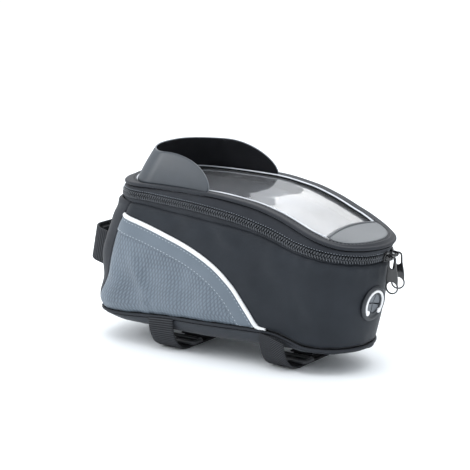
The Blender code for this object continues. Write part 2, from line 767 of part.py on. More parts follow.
def stem_strap(group):
    """Loop in front of the bag, for the steering head."""
    top, bottom = wall_point(1.0, 1.0), wall_point(1.0, 0.0)
    f = (FRONT_STRAP_HEIGHT - bottom.z) / (top.z - bottom.z)
    panel = wall_point(1.0, f)
    lean = (wall_point(1.0, f + 0.15) - wall_point(1.0, f - 0.15)).normalized()
    out = Vector((lean.z, 0.0, -lean.x)).normalized()
    half, bend = FRONT_STRAP_HALF, 7.0
    reach = FRONT_STRAP_REACH - 0.5 * WEBBING
    foot = 1.6
    plan = [(half + 1.0, foot), (half, 6.0)]
    plan += arc_points((half - bend, reach - bend), bend, 0, 90, 6)
    path = [panel + Vector((0, y, 0)) + out * depth for y, depth in plan]
    path += [panel + Vector((0, -y, 0)) + out * depth for y, depth in reversed(plan)]
    band("stem_strap", path, lean, FRONT_STRAP_WIDTH, WEBBING, "webbing", group)
    origin = panel + out * (reach - 0.5 * WEBBING) + Vector((0, 8.0, 0))
    strap_tail("stem_strap", (origin, Vector((0, -1, 0)), -out), 0.0, 14.5,
               FRONT_STRAP_WIDTH - 4.0, group)


# ---- lid --------------------------------------------------------------------------------
def lid_gusset(group):
    places = closed_columns(PLAN_COLUMNS)
    rows = []
    for f in columns(1.0, 0.0, 4):
        row = []
        for s in places:
            low = zip_point(s, ZIP_CLEAR)
            high = rim_point(s, -BINDING_RADIUS - 2 * GAP)
            row.append(low.lerp(high, f))
        rows.append(row)
    surface("lid_gusset", rows, "dark_fabric", group, LID_FABRIC, closed=True)


def lid_binding(group):
    points = [rim_point(s) for s in closed_columns(PLAN_COLUMNS)]
    tube("lid_binding", points, BINDING_RADIUS, "dark_fabric", group, closed=True, sides=1)


def lid_frame(group):
    """Fabric frame between the rim and the window."""
    places = closed_columns(PLAN_COLUMNS)
    rows = [[lid_point(s, depth) for s in places] for depth in (WINDOW_INSET, 4.5, 3.1)]
    surface("lid_frame", rows, "dark_fabric", group, LID_FABRIC, closed=True)


def inset_at(plan, x, inset):
    """s on the left half of an inset outline where it passes x."""
    low, high = 0.0, 1.0 - 0.2 * (1.0 - REAR_SHARE - SIDE_SHARE - CORNER_SHARE)
    for _ in range(30):
        s = 0.5 * (low + high)
        if inset_point(plan, s, inset).x < x:
            low = s
        else:
            high = s
    return s


def deck(name, plan, inset, x_range, count, height, thickness, finish, group):
    """A sheet that spans an inset outline from side to side between two x positions."""
    first = inset_at(plan, x_range[0], inset)
    last = inset_at(plan, x_range[1], inset)
    rows = []
    for s in columns(last, first, count):
        edge = inset_point(plan, s, inset)
        rows.append([Vector((edge.x, y, height(edge.x, y))) for y in columns(-edge.y, edge.y, 7)])
    return surface(name, rows, finish, group, thickness)


def window(group):
    """Clear sheet under the frame's inner edge."""
    def height(x, y):
        return lid_top(x, y) - LID_FABRIC - GAP
    deck("window", RIM_PLAN, WINDOW_EDGE, WINDOW_SPAN, 20, height, WINDOW_THICKNESS,
         "window", group)


def rear_patch(group):
    """Lens-shaped fabric patch over the window's rear end."""
    inset = WINDOW_INSET + GAP
    end = inset_at(RIM_PLAN, PATCH_FRONT - 2.0, inset)
    front, rear = [], []
    for s in columns(-end, end, 19):
        edge = inset_point(RIM_PLAN, s, inset)
        x = PATCH_FRONT + PATCH_BULGE * (1.0 - (edge.y / 31.0) ** 2)
        front.append(Vector((x, edge.y, lid_top(x, edge.y) - 0.1)))
        rear.append(Vector((edge.x, edge.y, lid_top(edge.x, edge.y) - 0.1)))
    middle = []
    for ahead, behind in zip(front, rear):
        spot = ahead.lerp(behind, 0.5)
        spot.z = lid_top(spot.x, spot.y) - 0.1
        middle.append(spot)
    surface("rear_patch", [front, middle, rear][::-1], "dark_fabric", group, 0.6)


def hood(group):
    """Stiff sun hood round the front of the window, leaning inwards."""
    start = inset_at(HOOD_BASE, HOOD_END + 0.4, 0.0)
    left = columns(start, 1.0, 16)
    places = left + [-s for s in reversed(left)][1:]
    rows = [[] for _ in range(5)]
    for s in places:
        base = plan_point(HOOD_BASE, s)
        top = plan_point(HOOD_TOP, s)
        behind = max(HOOD_PEAK - base.x, 0.0) / (HOOD_PEAK - HOOD_END)
        share = math.sqrt(max(1.0 - behind ** 2, 0.0))
        foot = lid_top(base.x, base.y) + GAP + 0.8
        for row, f in zip(rows, columns(1.0, 0.0, 5)):
            flat = base.lerp(top, f * share)
            row.append(Vector((flat.x, flat.y, foot + HOOD_HEIGHT * share * f)))
    surface("hood", rows, "sheet", group, HOOD_THICKNESS)


def phone_sleeve(group):
    """Padded floor of the phone pocket, with a hinged flap over its mouth."""
    def height(x, _y):
        return zip_height(x) + PHONE_PAD_RISE + PAD_THICKNESS
    deck("phone_pad_rear", ZIP_PLAN, PAD_INSET, (PAD_SPAN[0], FLAP_END - GAP), 20, height,
         PAD_THICKNESS, "lining", group)
    deck("phone_pad_front", ZIP_PLAN, PAD_INSET, (FLAP_HINGE + GAP, PAD_SPAN[1]), 6, height,
         PAD_THICKNESS, "lining", group)
    flap = deck("sleeve_flap", ZIP_PLAN, FLAP_INSET, (FLAP_END, FLAP_HINGE), 5, height,
                PAD_THICKNESS, "lining", group)
    move_origin(flap, (FLAP_HINGE, 0.0, zip_height(FLAP_HINGE) + PHONE_PAD_RISE))


def hinge_strip(group):
    """Fabric strip inside the front, where the lid folds."""
    left = columns(ZIP_END + 0.025, 1.0, 5)
    places = left + [-s for s in reversed(left)][1:]
    rows = [[zip_point(s, rise, TAPE[0]) for s in places] for rise in (-0.6, -3.8, -7.0)]
    surface("lid_hinge_strip", rows, "dark_fabric", group, TAPE[1])


# ---- sliders and pulls ------------------------------------------------------------------
def arc_frame(angle):
    """Place on the round rear end of the zip, with the outward and tangent directions."""
    forward = Vector((math.cos(ZIP_TILT), 0.0, math.sin(ZIP_TILT)))
    turn = math.radians(angle)
    outward = forward * -math.cos(turn) + Vector((0, 1, 0)) * math.sin(turn)
    tangent = forward * math.sin(turn) + Vector((0, 1, 0)) * math.cos(turn)
    centre = Vector((ZIP_PLAN["rear"], 0.0, zip_height(ZIP_PLAN["rear"])))
    return centre, centre + outward * ZIP_PLAN["end"][1], outward, tangent


def joined(pieces, cutters):
    """Union of solids: the first is kept, and the others go with the cutters."""
    for piece in pieces[1:]:
        for old in list(piece.users_collection):
            old.objects.unlink(piece)
        cutters.objects.link(piece)
        boolean(pieces[0], make_cutter(piece), "UNION")
    return pieces[0]


def slider(name, angle, group, cutters):
    """Slider body: outer and inner plates joined by a web between the coils, and a bridge."""
    centre, spot, outward, tangent = arc_frame(angle)
    outer_face = COIL_RADIUS + 0.4
    inner_face = -(TAPE[0] + TAPE[1] + 0.6)
    outer_thick, inner_thick = 0.9, 0.85
    outer = box_mesh(name, (SLIDER_LENGTH, SLIDER_HEIGHT, outer_thick), "metal", group)
    inner = box_mesh(name + "_inner", (SLIDER_LENGTH, SLIDER_HEIGHT, inner_thick), "metal", group)
    depth = outer_face - inner_face + 0.4
    web = box_mesh(name + "_web", (2.4, 0.5, depth), "metal", group)
    place(outer, spot + outward * (outer_face + 0.5 * outer_thick), tangent, outward)
    place(inner, spot + outward * (inner_face - 0.5 * inner_thick), tangent, outward)
    place(web, spot + outward * (0.5 * (outer_face + inner_face)), tangent, outward)
    for plate_piece in (outer, inner):
        rounding = plate_piece.modifiers.new("edges", "BEVEL")
        rounding.width = 0.3 * MM
        rounding.segments = 1
    root = outer_face + outer_thick - 0.3
    rise = BRIDGE_RISE + 0.3
    shape = ((-3.4, 0.0), (-3.3, 0.55), (-2.5, 0.92), (-1.3, 1.0), (1.3, 1.0), (2.5, 0.92),
             (3.3, 0.55), (3.4, 0.0))
    path = [spot + tangent * x + outward * (root + rise * share) for x, share in shape]
    arch = tube(name + "_bridge", path, BRIDGE_RADIUS, "metal", group, sides=1)
    arch = curve_to_mesh(arch, group)
    joined([outer, inner, web, arch], cutters)
    move_origin(outer, centre)


def pull(name, angle, group):
    """Pull tab hung from the bridge: slot at the top, solid middle, round eye at the end."""
    _centre, spot, outward, tangent = arc_frame(angle)
    wire = spot + outward * (COIL_RADIUS + 0.4 + 0.9 + BRIDGE_RISE)
    down = Vector((0, 0, -1)) - tangent * tangent.dot(Vector((0, 0, -1)))
    slot_radius = 1.7
    top = 0.75
    eye = PULL_LENGTH - 2.15 - 0.5 * PULL_WIDTH
    outline = arc_points((top, 0), slot_radius + 1.2, 90, 270, 13)
    outline += arc_points((eye, 0), 0.5 * PULL_WIDTH, -90, 90, 17)
    slot = arc_points((top, 0), slot_radius, 90, 270, 9)
    slot += arc_points((4.8, 0), slot_radius, -90, 90, 9)
    hole = arc_points((eye, 0), 0.5 * PULL_WIDTH - 1.0, 0, 345, 24)
    tab = plate(name, outline, [slot, hole], PULL_THICKNESS, "metal", group)
    place(tab, wire, down, tangent)


# ---- assembly ---------------------------------------------------------------------------
LID_PARTS = ("zip_tape_upper", "zip_coil_upper", "lid_gusset", "lid_binding", "lid_frame",
             "window", "rear_patch", "hood", "phone_pad_rear", "phone_pad_front")
CARRIED = (("sleeve_flap", "lid_gusset"), ("pull_left", "slider_left"),
           ("pull_right", "slider_right"),
           ("front_bottom_strap_hook_patch", "front_bottom_strap_tail"),
           ("rear_bottom_strap_hook_patch", "rear_bottom_strap_tail"),
           ("stem_strap_hook_patch", "stem_strap_tail"))


def hang_on(child, parent):
    child.parent = parent
    child.matrix_parent_inverse = parent.matrix_world.inverted()


def assemble(parts, cutters):
    """Centre the bag, then hang every moving piece on what carries it."""
    for obj in list(parts.objects) + list(cutters.objects):
        obj.location.x += CENTRE_SHIFT * MM
    lid = bpy.data.objects.new("lid_hinge", None)
    lid.location = Vector((LID_HINGE[0] + CENTRE_SHIFT, 0.0, LID_HINGE[1])) * MM
    parts.objects.link(lid)
    bpy.context.view_layer.update()
    for name in LID_PARTS:
        hang_on(parts.objects[name], lid)
    bpy.context.view_layer.update()
    for name, carrier in CARRIED:
        hang_on(parts.objects[name], parts.objects[carrier])
    bpy.context.view_layer.update()


def build():
    clear_scene()
    parts = make_collection("tank_bag")
    cutters = make_collection("cutters")
    body_wrap(parts, cutters)
    side_panel(1, "side_panel_left", parts)
    side_panel(-1, "side_panel_right", parts)
    reflective_strip(1, "reflective_strip_left", parts)
    reflective_strip(-1, "reflective_strip_right", parts)
    front_panel(parts)
    wall_foams(parts, cutters)
    lining(parts, cutters)
    base_pan(parts)
    base_board(parts)
    base_piping(parts)
    zip_half(-1, "lower", parts)
    zip_half(1, "upper", parts)
    zip_stops(parts)
    cable_port(parts, cutters)
    bottom_straps(parts)
    stem_strap(parts)
    lid_gusset(parts)
    lid_binding(parts)
    lid_frame(parts)
    window(parts)
    rear_patch(parts)
    hood(parts)
    phone_sleeve(parts)
    hinge_strip(parts)
    for angle, label in zip(SLIDER_ANGLES, ("left", "right")):
        slider("slider_" + label, angle, parts, cutters)
        pull("pull_" + label, angle, parts)
    assemble(parts, cutters)


build()
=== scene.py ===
"""Looks of the tank bag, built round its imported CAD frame.

Lengths are in millimetres until a mesh is made, in the plan that the CAD uses: the whole
bag is then moved CENTRE_SHIFT forwards.  +X is forwards, +Y to the left, +Z up.
"""
import math
import random

import bmesh
import bpy
import numpy as np
from mathutils import Matrix, Vector


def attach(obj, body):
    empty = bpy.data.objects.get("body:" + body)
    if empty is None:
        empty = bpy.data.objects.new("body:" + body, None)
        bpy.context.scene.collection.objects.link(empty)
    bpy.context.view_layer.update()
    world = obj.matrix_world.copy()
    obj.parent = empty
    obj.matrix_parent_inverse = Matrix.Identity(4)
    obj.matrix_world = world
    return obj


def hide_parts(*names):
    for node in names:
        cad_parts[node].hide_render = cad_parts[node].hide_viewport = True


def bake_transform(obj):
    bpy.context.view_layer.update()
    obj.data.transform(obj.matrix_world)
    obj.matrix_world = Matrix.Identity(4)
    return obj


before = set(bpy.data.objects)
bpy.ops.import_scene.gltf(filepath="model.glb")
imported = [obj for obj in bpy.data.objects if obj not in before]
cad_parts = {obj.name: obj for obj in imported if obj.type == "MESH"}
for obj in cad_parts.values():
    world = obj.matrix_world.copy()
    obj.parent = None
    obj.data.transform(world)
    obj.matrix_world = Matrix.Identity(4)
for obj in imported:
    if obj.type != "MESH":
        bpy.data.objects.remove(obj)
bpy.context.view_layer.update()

MM = 0.001
CENTRE_SHIFT = 3.4

# ---- plan outlines and seam heights, as the CAD has them ---------------------------------
BASE_PLAN = dict(front=96.0, corner=(23.0, 31.0), half=42.5, rear=-68.0, end=(32.0, 33.5))
ZIP_PLAN = dict(front=78.5, corner=(29.0, 37.0), half=43.5, rear=-72.0, end=(37.3, 38.0))
RIM_PLAN = dict(front=77.0, corner=(29.0, 37.0), half=42.7, rear=-74.0, end=(38.5, 37.5))
HOOD_BASE = dict(front=68.0, corner=(26.0, 34.0), half=40.3, rear=-74.0, end=(38.0, 38.0))
HOOD_TOP = dict(front=56.0, corner=(22.0, 28.0), half=33.0, rear=-74.0, end=(33.0, 33.0))
TAPER_START = 10.0
REAR_SHARE, SIDE_SHARE, CORNER_SHARE = 0.27, 0.48, 0.21
FRONT_SHARE = 1.0 - REAR_SHARE - SIDE_SHARE - CORNER_SHARE

BASE_SEAM = ((95, 20.6), (71, 20.7), (43, 22.6), (17, 24.4), (-14, 24.9), (-37, 24.8),
             (-50, 23.9), (-62, 21.0), (-75, 17.8), (-100, 16.4))
ZIP_SEAM = ((80, 101.0), (53, 101.2), (13, 99.8), (-22, 95.8), (-46, 90.2))
ZIP_REAR = (-68.0, 83.3)
ZIP_SLOPE = 0.19
ZIP_TILT = math.atan(ZIP_SLOPE)
RIM_SEAM = ((80, 109.0), (24, 110.2), (-5, 109.8), (-35, 106.4), (-54, 101.5), (-73, 94.0),
            (-88, 88.0), (-100, 84.6), (-114, 83.0))
FRONT_SEAM = ((56.5, 98.0), (64.0, 88.0), (70.0, 77.0), (73.5, 61.0), (77.0, 50.0),
              (83.0, 37.0), (86.0, 29.0), (83.0, 22.0))
STRIP_LINE = ((63.3, 88.4), (43.5, 84.0), (25.5, 79.0), (7.5, 73.2), (-9.0, 65.0),
              (-24.5, 51.6), (-34.0, 36.8), (-39.0, 28.0))
WALL_BULGE = 1.6
SEAM_CLEAR = 1.5
ZIP_CLEAR = 3.5
LID_CROWN = 2.4
FLOOR_LEVEL = 14.5

# how far the outer cloth's folded top edge lies under the zip's middle line, along x
CLOTH_DROP = ((80, 2.2), (70, 2.8), (60, 3.1), (45, 3.5), (20, 4.8), (-5, 5.0), (-27, 4.1),
              (-45, 2.9), (-62, 3.1), (-70, 3.2), (-90, 3.3), (-112, 3.3))

# how far the coil's middle lies above the zip line, along x
COIL_RISE = ((80, 1.8), (50, 1.7), (20, 1.3), (-20, 1.3), (-45, 1.3), (-70, 0.6),
             (-90, -0.2), (-112, -0.4))
COIL_HALF = 2.35               # half the width of the closed coil


# ---- curves and surfaces of the plan -----------------------------------------------------
def height_along(knots, x):
    """Height at x on a smooth line through (x, z) knots that never overshoots."""
    knots = sorted(knots)
    if x <= knots[0][0]:
        return knots[0][1]
    if x >= knots[-1][0]:
        return knots[-1][1]
    index = max(i for i in range(len(knots) - 1) if knots[i][0] <= x)
    slopes = [(b[1] - a[1]) / (b[0] - a[0]) for a, b in zip(knots, knots[1:])]

    def tangent(i):
        if i == 0:
            return slopes[0]
        if i == len(knots) - 1:
            return slopes[-1]
        before, after = slopes[i - 1], slopes[i]
        return 0.0 if before * after <= 0 else 2 * before * after / (before + after)

    (x0, z0), (x1, z1) = knots[index], knots[index + 1]
    span = x1 - x0
    f = (x - x0) / span
    rise = tangent(index) * span
    fall = tangent(index + 1) * span
    return (z0 * (2 * f ** 3 - 3 * f ** 2 + 1) + rise * (f ** 3 - 2 * f ** 2 + f)
            + z1 * (3 * f ** 2 - 2 * f ** 3) + fall * (f ** 3 - f ** 2))


def zip_height(x):
    """Height of the zip line: a curve along the side, a slope at the rear."""
    if x <= ZIP_REAR[0]:
        return ZIP_REAR[1] + ZIP_SLOPE * (x - ZIP_REAR[0])
    return height_along(ZIP_SEAM + (ZIP_REAR,), x)


def smooth_step(f):
    f = min(max(f, 0.0), 1.0)
    return f * f * (3 - 2 * f)


def plan_point(plan, s):
    """Point of a closed outline; s runs from 0 at the rear to 1 (left) or -1 (right)."""
    side = -1.0 if s < 0 else 1.0
    u = abs(s)
    length, width = plan["corner"]
    end_length, end_width = plan["end"]
    corner_x = plan["front"] - length
    if u <= REAR_SHARE:
        angle = 0.5 * math.pi * u / REAR_SHARE
        x = plan["rear"] - end_length * math.cos(angle)
        y = end_width * math.sin(angle)
    elif u <= REAR_SHARE + SIDE_SHARE:
        f = (u - REAR_SHARE) / SIDE_SHARE
        x = plan["rear"] + (corner_x - plan["rear"]) * f
        taper = smooth_step((x - plan["rear"]) / (TAPER_START - plan["rear"]))
        y = end_width + (plan["half"] - end_width) * taper
    elif u <= REAR_SHARE + SIDE_SHARE + CORNER_SHARE:
        angle = 0.5 * math.pi * (u - REAR_SHARE - SIDE_SHARE) / CORNER_SHARE
        x = corner_x + length * math.sin(angle)
        y = plan["half"] - width + width * math.cos(angle)
    else:
        x = plan["front"]
        y = (plan["half"] - width) * (1.0 - u) / FRONT_SHARE
    return Vector((x, side * y))


def plan_normal(plan, s):
    """Outward direction of an outline at s."""
    step = 0.004
    tangent = plan_point(plan, min(s + step, 1.0)) - plan_point(plan, max(s - step, -1.0))
    return Vector((-tangent.y, tangent.x)).normalized()


def inset_point(plan, s, depth):
    """Point of an outline, moved inwards."""
    return plan_point(plan, s) - plan_normal(plan, s) * depth


def crossing(value, target, low, high, steps=30):
    """Where a rising function reaches its target between low and high, by halving."""
    for _ in range(steps):
        middle = 0.5 * (low + high)
        if value(middle) < target:
            low = middle
        else:
            high = middle
    return middle


def columns(start, stop, count):
    """Evenly spaced values, both ends included."""
    return [start + (stop - start) * i / (count - 1) for i in range(count)]


def closed_columns(count):
    """Evenly spaced places round a closed outline."""
    return [-1.0 + 2.0 * i / count for i in range(count)]


def both_sides(left):
    """Places on the left side, then the same ones on the right side in reverse."""
    return left + [-s for s in reversed(left)][1:]


def rows_of(point, places, profile):
    """Rows of points along the same places, one row for each step of a profile."""
    return [[point(s, *step) for s in places] for step in profile]


def ripples(lengths, *waves):
    """Sum of ripples along a cloth, each (height, length of one radian, phase)."""
    return sum(height * np.sin(lengths / length + phase) for height, length, phase in waves)


def wall_ends(s):
    """Heights of the wall's lower and upper edge."""
    low = height_along(BASE_SEAM, plan_point(BASE_PLAN, s).x) + SEAM_CLEAR
    return low, zip_height(plan_point(ZIP_PLAN, s).x) - ZIP_CLEAR


def wall_point(s, f, depth=0.0):
    """Point of the body wall: f is 0 at its lower edge and 1 at its upper edge."""
    z_low, z_high = wall_ends(s)
    swell = WALL_BULGE * math.sin(math.pi * min(max(f, 0.0), 1.0))
    flat = plan_point(BASE_PLAN, s).lerp(plan_point(ZIP_PLAN, s), f * 0.97)
    flat += plan_normal(ZIP_PLAN, s) * (swell - depth)
    return Vector((flat.x, flat.y, z_low + (z_high - z_low) * f))


def wall_locate(x, z):
    """(s, f) of the left wall's point with this x and z."""
    f = 0.5
    for _ in range(6):
        s = crossing(lambda share, level=f: wall_point(share, level).x, x, 0.0, 0.999, 16)
        bottom, top = wall_ends(s)
        f = (z - bottom) / (top - bottom)
    return s, f


def zip_point(s, rise=0.0, depth=0.0):
    """Point by the zip line, rise along the tilted axis, depth inwards."""
    flat = inset_point(ZIP_PLAN, s, depth)
    spot = Vector((flat.x, flat.y, zip_height(flat.x)))
    return spot + Vector((-math.sin(ZIP_TILT), 0.0, math.cos(ZIP_TILT))) * rise


def coil_point(s, rise=0.0, depth=0.0):
    """Point by the coil's middle line."""
    return zip_point(s, height_along(COIL_RISE, plan_point(ZIP_PLAN, s).x) + rise, depth)


def rim_point(s, rise=0.0, depth=0.0):
    """Point by the rim's line."""
    flat = inset_point(RIM_PLAN, s, depth)
    return Vector((flat.x, flat.y, height_along(RIM_SEAM, plan_point(RIM_PLAN, s).x) + rise))


def lid_top(x, y):
    """Height of the crowned top of the lid."""
    return height_along(RIM_SEAM, x) + LID_CROWN * (1.0 - (y / RIM_PLAN["half"]) ** 2)


def lid_point(s, depth, rise=0.0):
    """Point on top of the lid, depth inside the rim."""
    flat = inset_point(RIM_PLAN, s, depth)
    return Vector((flat.x, flat.y, lid_top(flat.x, flat.y) + rise))


def inset_at(plan, x, inset):
    """s on the left half of an inset outline where it passes x."""
    return crossing(lambda s: inset_point(plan, s, inset).x, x, 0.0, 1.0 - 0.2 * FRONT_SHARE)


# ---- mesh builders -----------------------------------------------------------------------
def to_world(points):
    """Millimetres of the plan to metres of the frame."""
    return (np.asarray(points, float) + (CENTRE_SHIFT, 0.0, 0.0)) * MM


def to_grid(rows):
    return np.array([[tuple(point) for point in row] for row in rows], float)


def add_object(name, mesh, materials):
    """Object in the scene with a mesh and its materials."""
    obj = bpy.data.objects.new(name, mesh)
    for material in materials:
        mesh.materials.append(material)
    bpy.context.scene.collection.objects.link(obj)
    return obj


def mesh_of(name, vertices, faces, materials, uvs=None):
    """Smooth mesh object from points in the plan's millimetres."""
    mesh = bpy.data.meshes.new(name)
    mesh.from_pydata([tuple(v) for v in to_world(vertices)], [], faces)
    if uvs is not None:
        layer = mesh.uv_layers.new(name="cloth")
        layer.data.foreach_set("uv", np.asarray(uvs, np.float32).ravel())
    mesh.validate()
    mesh.shade_smooth()
    return add_object(name, mesh, materials)


def grid_faces(rows, count, closed, flip):
    """Quads of a grid of points, rows x count."""
    faces = []
    for r in range(rows - 1):
        for c in range(count if closed else count - 1):
            d = (c + 1) % count
            quad = (r * count + c, (r + 1) * count + c, (r + 1) * count + d, r * count + d)
            faces.append(quad[::-1] if flip else quad)
    return faces


def tube_faces(count, size, closed=False, first=0):
    """Quads between count rings of size points each, with end caps unless it is closed."""
    faces = []
    for i in range(count if closed else count - 1):
        low, high = first + i * size, first + (i + 1) % count * size
        for k in range(size):
            m = (k + 1) % size
            faces.append((low + k, low + m, high + m, high + k))
    if not closed:
        faces.append(tuple(range(first, first + size))[::-1])
        faces.append(tuple(range(first + (count - 1) * size, first + count * size)))
    return faces


def face_outwards(obj):
    """Turn all faces of a closed mesh outwards."""
    work = bmesh.new()
    work.from_mesh(obj.data)
    bmesh.ops.recalc_face_normals(work, faces=work.faces)
    work.to_mesh(obj.data)
    work.free()


def run_lengths(line, closed):
    """Running length along a line of points, in metres."""
    steps = np.linalg.norm(np.diff(line, axis=0), axis=1)
    if closed:
        steps = np.append(steps, np.linalg.norm(line[0] - line[-1]))
    return np.concatenate([[0.0], np.cumsum(steps)]) * MM


def grid_uvs(grid, closed, flip):
    """UV of each face corner, in metres of cloth."""
    rows, count = grid.shape[:2]
    u = run_lengths(grid[rows // 2], closed)
    v = run_lengths(grid[:, count // 3], False)
    uvs = []
    for r in range(rows - 1):
        for c in range(count if closed else count - 1):
            corner = [(u[c], v[r]), (u[c], v[r + 1]), (u[c + 1], v[r + 1]), (u[c + 1], v[r])]
            uvs += corner[::-1] if flip else corner
    return uvs


def sheet(name, grid, materials, closed=False, flip=False, thickness=None, offset=-1.0):
    """Cloth through a grid of points. Its front looks along rows x columns."""
    rows, count = grid.shape[:2]
    obj = mesh_of(name, grid.reshape(-1, 3), grid_faces(rows, count, closed, flip), materials,
                  grid_uvs(grid, closed, flip))
    if thickness:
        thicken(obj, thickness, offset)
    return obj


def thicken(obj, thickness, offset=-1.0):
    shell = obj.modifiers.new("thickness", "SOLIDIFY")
    shell.thickness = thickness * MM
    shell.offset = offset
    shell.use_even_offset = False
    return shell


def grid_normals(grid, closed):
    """Outward normals of a grid, rows x columns."""
    if closed:
        along = np.roll(grid, -1, axis=1) - np.roll(grid, 1, axis=1)
    else:
        along = np.gradient(grid, axis=1)
    up = np.gradient(grid, axis=0)
    normals = np.cross(up, along)
    return normals / np.maximum(np.linalg.norm(normals, axis=2, keepdims=True), 1e-9)


def unit(v):
    return v / max(np.linalg.norm(v), 1e-9)


def path_frames(path, guide):
    """Tangent and two cross directions at each point of a path; guide may be one direction."""
    frames = []
    for tangent, towards in zip(np.gradient(path, axis=0), np.broadcast_to(guide, path.shape)):
        t = unit(tangent)
        across = unit(towards - t * np.dot(towards, t))
        frames.append((t, across, np.cross(t, across)))
    return frames


def sweep(name, path, guide, section, material, closed=False):
    """A closed cross-section of (along guide, across) points carried along a path."""
    path = np.asarray(path, float)
    guide = np.broadcast_to(np.asarray(guide, float), path.shape)
    if closed:
        wrapped = np.vstack([path[-1], path, path[0]])
        frames = path_frames(wrapped, np.vstack([guide[-1], guide, guide[0]]))[1:-1]
    else:
        frames = path_frames(path, guide)
    vertices = [p + a * x + b * y for p, (_t, a, b) in zip(path, frames) for x, y in section]
    return mesh_of(name, vertices, tube_faces(len(path), len(section), closed), [material])


def circle(radius, sides, squash=1.0):
    """Points of a circle or, squashed, of an oval."""
    turns = [2 * math.pi * k / sides for k in range(sides)]
    return [(radius * math.cos(a), radius * squash * math.sin(a)) for a in turns]


def along_line(line, lengths, places):
    """Points of a line at running lengths."""
    return np.stack([np.interp(places, lengths, line[:, k]) for k in range(3)], 1)


def resample(line, spacing):
    """Evenly spaced points along a line, with the tangent there."""
    line = np.asarray(line, float)
    lengths = run_lengths(line, False) / MM
    places = np.arange(spacing * 0.5, lengths[-1], spacing)
    ahead = along_line(line, lengths, places + 0.3)
    return along_line(line, lengths, places), ahead - along_line(line, lengths, places - 0.3)


def smooth_path(points, spacing):
    """Catmull-Rom curve through points, with a point every spacing."""
    points = np.asarray(points, float)
    ends = np.vstack([2 * points[0] - points[1], points, 2 * points[-1] - points[-2]])
    dense = []
    for a, b, c, d in zip(ends, ends[1:], ends[2:], ends[3:]):
        for t in columns(0.0, 1.0, 17)[:-1]:
            dense.append(0.5 * (2 * b + (c - a) * t + (2 * a - 5 * b + 4 * c - d) * t ** 2
                                + (3 * b - a - 3 * c + d) * t ** 3))
    dense.append(points[-1])
    dense = np.array(dense)
    lengths = run_lengths(dense, False) / MM
    count = max(int(lengths[-1] / spacing), 4)
    return along_line(dense, lengths, np.linspace(0.0, lengths[-1], count))


def upwards(_spot):
    return np.array((0.0, 0.0, 1.0))


def stitches(name, line, normals_at, size, material, body, slot):
    """Thread stitches along a line, each a bead that dips into the cloth at both ends.

    size is the pitch, the length of a stitch and the thread's radius.
    """
    pitch, length, radius = size
    rings, sides = 5, 6
    turns = [2 * math.pi * k / sides for k in range(sides)]
    vertices, faces = [], []
    for spot, tangent in zip(*resample(line, pitch)):
        t = unit(tangent)
        n = normals_at(spot)
        n = unit(n - t * np.dot(n, t))
        b = np.cross(t, n)
        faces += tube_faces(rings, sides, first=len(vertices))
        for i in range(rings):
            share = 2.0 * i / (rings - 1) - 1.0
            lift = radius * (1.0 - 1.6 * share ** 2)
            slim = radius * math.sqrt(max(1.0 - 0.8 * share ** 2, 0.05))
            centre = spot + t * (0.5 * length * share) + n * lift
            vertices += [centre + (n * math.cos(a) + b * math.sin(a)) * slim for a in turns]
    return finished(mesh_of(name, vertices, faces, [material]), body, slot)


def finished(obj, body, slot, *nodes):
    """Put a piece on its body and hide the CAD nodes that it stands for; the slot is not used."""
    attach(obj, body)
    if nodes:
        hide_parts(*nodes)
    return obj


def cloth_piece(name, rows, material, body, slot, *nodes, **form):
    """Sheet through rows of points, finished."""
    return finished(sheet(name, to_grid(rows), [material], **form), body, slot, *nodes)


def cord_piece(name, line, guide, section, material, body, slot, *nodes, closed=False):
    """Swept cross-section, finished."""
    return finished(sweep(name, line, guide, section, material, closed), body, slot, *nodes)


def poly_spline(curve, points, cyclic=False):
    """Add straight pieces through points."""
    spline = curve.splines.new("POLY")
    spline.points.add(len(points) - 1)
    for spot, point in zip(spline.points, points):
        spot.co = (*point, 1.0)
    spline.use_cyclic_u = cyclic


def curve_mesh(curve):
    """Mesh of a curve's surface."""
    holder = bpy.data.objects.new(curve.name, curve)
    bpy.context.scene.collection.objects.link(holder)
    bpy.context.view_layer.update()
    graph = bpy.context.evaluated_depsgraph_get()
    mesh = bpy.data.meshes.new_from_object(holder.evaluated_get(graph))
    bpy.data.objects.remove(holder, do_unlink=True)
    mesh.shade_smooth()
    mesh.materials.clear()
    return mesh


# ---- materials ---------------------------------------------------------------------------
WEB_PITCH = 1.55               # one rib of the webbing's weave


def add_node(tree, kind, inputs=None, **settings):
    node = tree.nodes.new(kind)
    for key, value in settings.items():
        setattr(node, key, value)
    for socket, value in (inputs or {}).items():
        if isinstance(value, bpy.types.NodeSocket):
            tree.links.new(value, node.inputs[socket])
        else:
            node.inputs[socket].default_value = value
    return node


def maths(tree, operation, first, second=0.0):
    return add_node(tree, "ShaderNodeMath", {0: first, 1: second}, operation=operation).outputs[0]


def new_material(name, roughness, **sockets):
    """Material with a Principled shader, its tree and the shader."""
    material = bpy.data.materials.new(name)
    material.use_nodes = True
    tree = material.node_tree
    shader = tree.nodes["Principled BSDF"]
    shader.inputs["Roughness"].default_value = roughness
    for socket, value in sockets.items():
        shader.inputs[socket.replace("_", " ")].default_value = value
    return material, tree, shader


def link_surface(tree, shader, colour, roughness, height, strength, distance):
    """Link a shader's colour, roughness and bump; distance in millimetres."""
    bumps = add_node(tree, "ShaderNodeBump", {"Height": height, "Strength": strength,
                                              "Distance": distance * MM})
    tree.links.new(colour, shader.inputs["Base Color"])
    tree.links.new(roughness, shader.inputs["Roughness"])
    tree.links.new(bumps.outputs[0], shader.inputs["Normal"])


